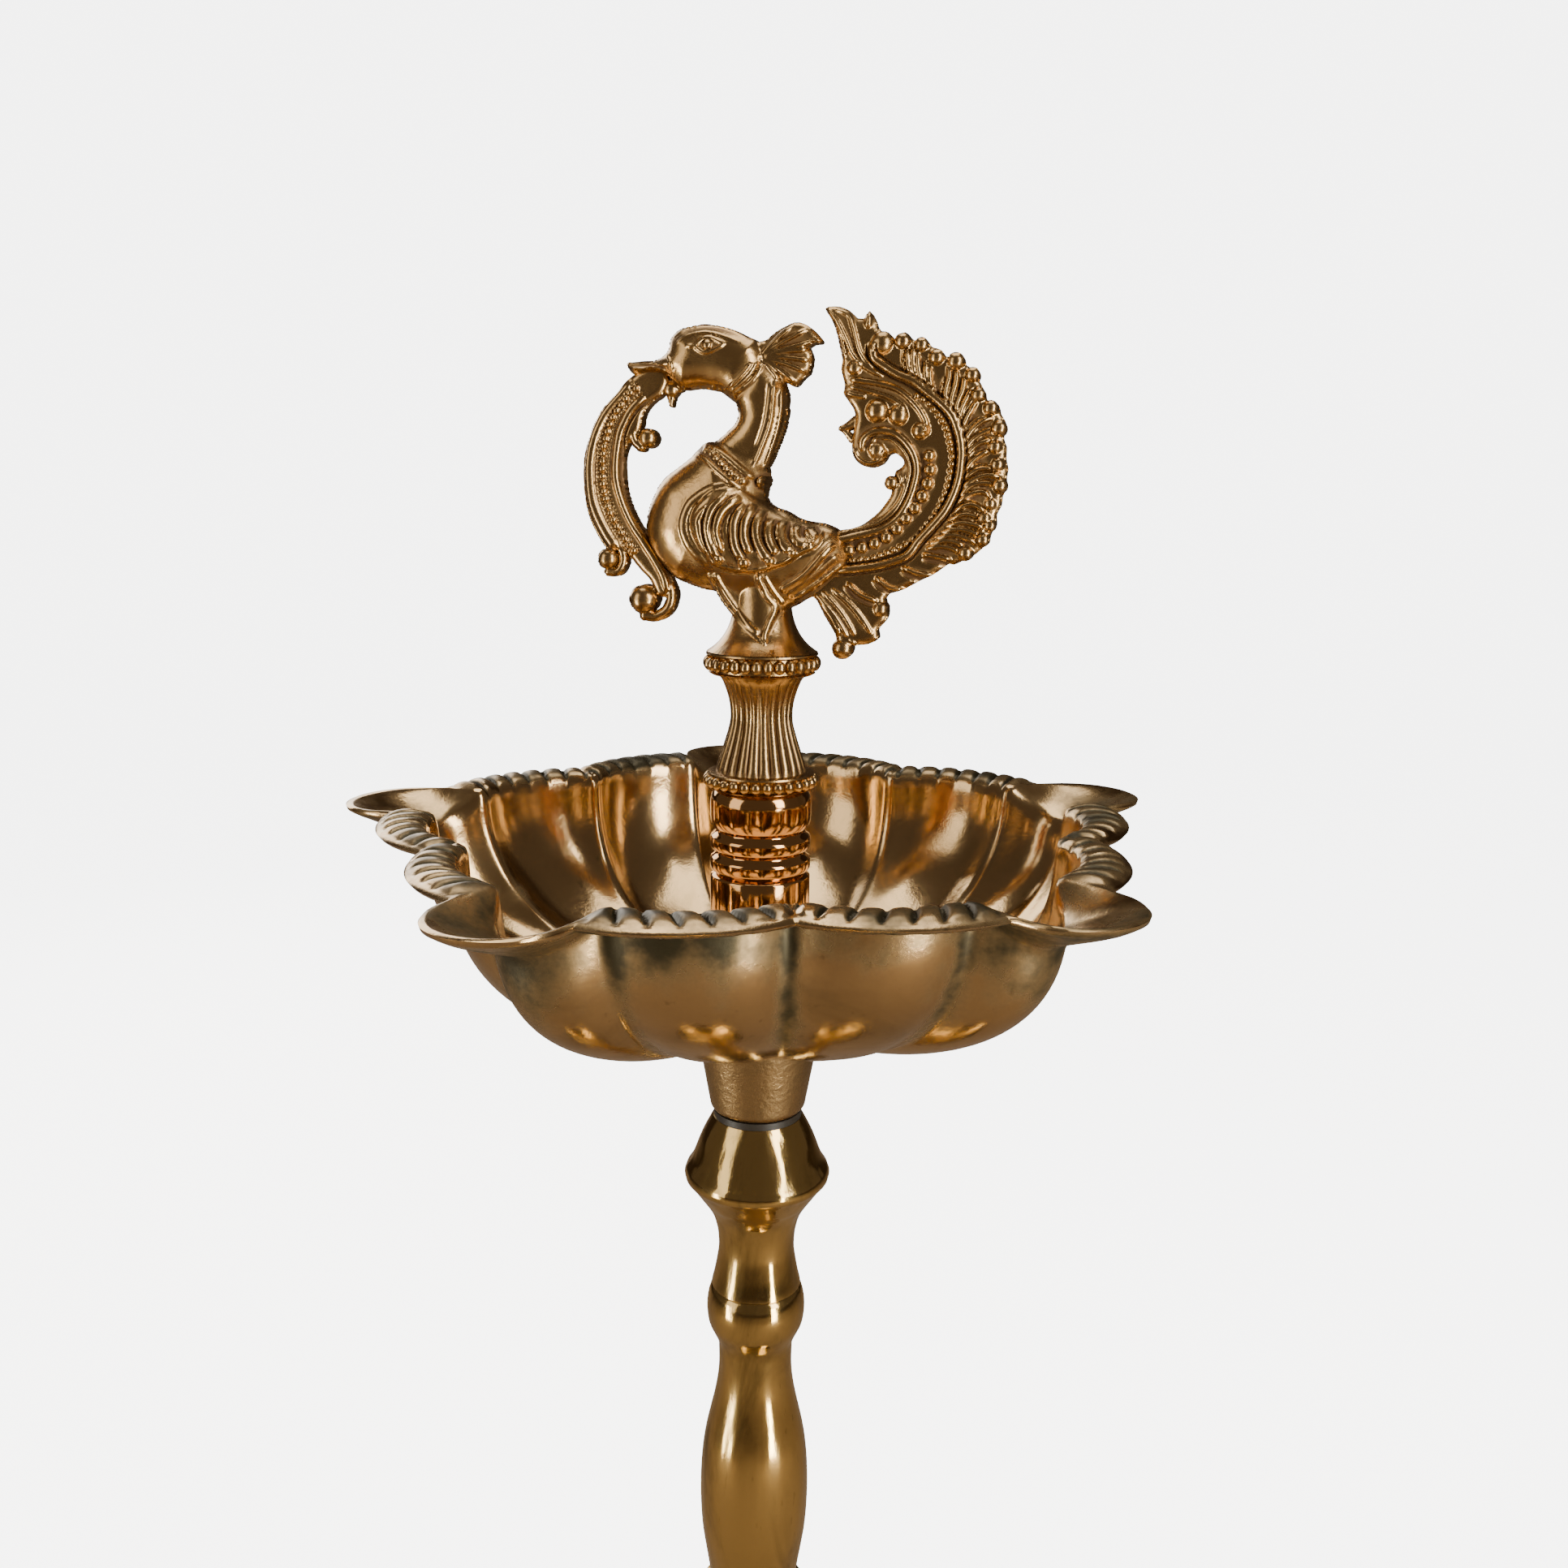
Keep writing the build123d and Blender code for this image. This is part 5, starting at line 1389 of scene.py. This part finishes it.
class LAMP_OT_bird(bpy.types.Operator):
    """Cast the bird in three parts: body, garland and tail"""
    bl_idname = "lamp.bird"
    bl_label = "Bird"

    def execute(self, context):
        sizes = context.scene.lamp_bird
        cell = sizes.cell / MM * 1.0
        for name, shape in (("bird_body", shape_body), ("bird_garland", shape_garland),
                            ("bird_tail", shape_tail)):
            piece = shape(cell).build(name, sizes.yaw, RIM)
            finish_piece(piece, "bird", bpy.data.materials["finial brass"])
        return {"FINISHED"}


# ------------------------------------------------------------------ stage
PALE = (1, 0.998, 0.992, 1)
PALE_STRENGTH = 5.5
SWEEP_HALF_WIDTH = 4.0
SWEEP_BEND = 0.8
SWEEP_FLAT = 2.0
BELOW_FLOOR = 0.0005
# name, place, the point it faces, width, height, power and colour
LIGHTS = (
    ("key", (0.75, -0.75, 0.75), (0, 0, 0.3), 0.36, 0.8, 11, (1.0, 0.96, 0.88)),
    ("fill", (-0.9, -0.5, 0.6), (0, 0, 0.3), 0.5, 0.9, 3.2, (1.0, 0.94, 0.84)),
    ("strip", (0.42, -0.5, 0.12), (0, 0, 0.16), 0.12, 0.4, 4.5, (1.0, 0.97, 0.86)),
    ("low strip", (-0.55, -0.25, 0.1), (0, 0, 0.16), 0.1, 0.35, 2.5, (1.0, 0.96, 0.84)),
    ("top", (0.0, 0.15, 1.25), (0, 0, 0.3), 0.7, 0.7, 5.5, (1.0, 0.97, 0.92)),
    ("back", (-0.5, 0.9, 0.7), (0, 0, 0.33), 0.6, 0.6, 5, (1.0, 0.96, 0.9)),
)
CAMERA_PLACE = (-0.00302, -0.23372, 0.3772)
CAMERA_PITCH = math.radians(11.54)
CAMERA_YAW = math.radians(-1.697)
CAMERA_ROLL = math.radians(-0.756)
LENS = 32.38
SENSOR_WIDTH = 36


def make_camera():
    """The camera at its viewing angle."""
    sin_y, cos_y = math.sin(CAMERA_YAW), math.cos(CAMERA_YAW)
    level = Vector((-sin_y, cos_y, 0))
    right = Vector((cos_y, sin_y, 0))
    up_axis = Vector((0, 0, 1))
    forward = math.cos(CAMERA_PITCH) * level - math.sin(CAMERA_PITCH) * up_axis
    up = math.sin(CAMERA_PITCH) * level + math.cos(CAMERA_PITCH) * up_axis
    rolled_right = math.cos(CAMERA_ROLL) * right - math.sin(CAMERA_ROLL) * up
    rolled_up = math.sin(CAMERA_ROLL) * right + math.cos(CAMERA_ROLL) * up
    bpy.ops.object.camera_add(location=CAMERA_PLACE)
    camera = bpy.context.object
    camera.matrix_world = Matrix.Translation(CAMERA_PLACE) @ Matrix(
        (rolled_right, rolled_up, -forward)).transposed().to_4x4()
    camera.data.lens = LENS
    camera.data.sensor_width = SENSOR_WIDTH
    camera.data.clip_start = 0.01
    bpy.context.scene.camera = camera


def soft_light(name, place, target, width, height, power, colour):
    """A softbox that faces a point."""
    bpy.ops.object.light_add(type="AREA", location=place)
    light = bpy.context.object
    light.name = name
    light.data.shape = "RECTANGLE"
    light.data.size = width
    light.data.size_y = height
    light.data.energy = power
    light.data.color = colour
    light.rotation_euler = (Vector(target) - Vector(place)).to_track_quat("-Z", "Y").to_euler()


def seen_or_bounced(tree, seen, bounced, output):
    """Sends one shader to the camera and another to every other ray."""
    ray = tree.nodes.new("ShaderNodeLightPath")
    mix = tree.nodes.new("ShaderNodeMixShader")
    tree.links.new(ray.outputs["Is Camera Ray"], mix.inputs[0])
    tree.links.new(bounced.outputs[0], mix.inputs[1])
    tree.links.new(seen.outputs[0], mix.inputs[2])
    tree.links.new(mix.outputs[0], tree.nodes[output].inputs["Surface"])


def make_sweep():
    """The pale floor that curves up into a backdrop."""
    top = SWEEP_FLAT + SWEEP_BEND
    bend = [(SWEEP_FLAT + SWEEP_BEND * math.sin(a), SWEEP_BEND - SWEEP_BEND * math.cos(a))
            for a in np.linspace(0.15, math.pi / 2, 10)]
    line = [(-3.0, 0.0), (SWEEP_FLAT, 0.0)] + bend + [(top, 3.5)]
    deselect_all()
    bpy.ops.mesh.primitive_plane_add(size=1)
    sweep = bpy.context.object
    sweep.name = "sweep"
    points = [(side, y, z - BELOW_FLOOR) for y, z in line for side in (-SWEEP_HALF_WIDTH,
                                                                       SWEEP_HALF_WIDTH)]
    faces = [(2 * k, 2 * k + 1, 2 * k + 3, 2 * k + 2) for k in range(len(line) - 1)]
    sweep.data.clear_geometry()
    sweep.data.from_pydata(points, [], faces)
    bpy.ops.object.shade_smooth()
    material, tree, shader = new_material("pale sweep")
    shader.inputs["Base Color"].default_value = (0.9, 0.895, 0.89, 1)
    shader.inputs["Roughness"].default_value = 0.9
    shader.inputs["Emission Color"].default_value = PALE
    shader.inputs["Emission Strength"].default_value = PALE_STRENGTH
    bounce = tree.nodes.new("ShaderNodeBsdfDiffuse")
    bounce.inputs["Color"].default_value = (0.25, 0.20, 0.155, 1)
    seen_or_bounced(tree, shader, bounce, "Material Output")
    sweep.data.materials.append(material)
    return sweep


def make_world(scene):
    """A dim warm room for reflections, pale where the camera looks past the sweep."""
    world = bpy.data.worlds.new("soft room")
    scene.world = world
    world.use_nodes = True
    tree = world.node_tree
    room = tree.nodes["Background"]
    room.inputs["Color"].default_value = (0.30, 0.24, 0.19, 1)
    room.inputs["Strength"].default_value = 0.38
    pale = tree.nodes.new("ShaderNodeBackground")
    pale.inputs["Color"].default_value = PALE
    pale.inputs["Strength"].default_value = PALE_STRENGTH
    seen_or_bounced(tree, pale, room, "World Output")


class LAMP_OT_stage(bpy.types.Operator):
    """Set up the camera, the pale sweep of floor and backdrop, and the soft lights"""
    bl_idname = "lamp.stage"
    bl_label = "Stage"

    def execute(self, context):
        deselect_all()
        make_camera()
        make_sweep()
        for light in LIGHTS:
            soft_light(*light)
        make_world(context.scene)
        return {"FINISHED"}


# ------------------------------------------------------------------ panel and start
OPERATORS = (LAMP_OT_finishes, LAMP_OT_stage, LAMP_OT_stem, LAMP_OT_screws, LAMP_OT_bowl,
             LAMP_OT_post, LAMP_OT_spool, LAMP_OT_rings, LAMP_OT_bird)
SETTINGS = {"lamp_brass": BrassSettings, "lamp_bowl": BowlSettings, "lamp_finial": FinialSettings,
            "lamp_bird": BirdSettings}


class LAMP_PT_panel(bpy.types.Panel):
    """The lamp's pieces, in the order they are made"""
    bl_label = "Oil lamp"
    bl_idname = "LAMP_PT_panel"
    bl_space_type = "VIEW_3D"
    bl_region_type = "UI"
    bl_category = "Oil lamp"

    def draw(self, context):
        for group, kind in SETTINGS.items():
            box = self.layout.box()
            box.label(text=kind.__name__)
            for label in kind.__annotations__:
                box.prop(getattr(context.scene, group), label)
        for operator in OPERATORS:
            self.layout.operator(operator.bl_idname)


def register():
    """Adds the settings, the operators and the panel."""
    for group, kind in SETTINGS.items():
        bpy.utils.register_class(kind)
        setattr(bpy.types.Scene, group, PointerProperty(type=kind))
    for operator in OPERATORS:
        bpy.utils.register_class(operator)
    bpy.utils.register_class(LAMP_PT_panel)


def unregister():
    """Removes them again."""
    bpy.utils.unregister_class(LAMP_PT_panel)
    for operator in reversed(OPERATORS):
        bpy.utils.unregister_class(operator)
    for group, kind in SETTINGS.items():
        delattr(bpy.types.Scene, group)
        bpy.utils.unregister_class(kind)


def main():
    """Makes the whole lamp."""
    register()
    bpy.ops.lamp.finishes()
    bpy.ops.lamp.stage()
    bpy.ops.lamp.stem()
    bpy.ops.lamp.screws()
    bpy.ops.lamp.bowl()
    bpy.ops.lamp.post()
    bpy.ops.lamp.spool()
    bpy.ops.lamp.rings()
    bpy.ops.lamp.bird()


if __name__ == "__main__":
    main()
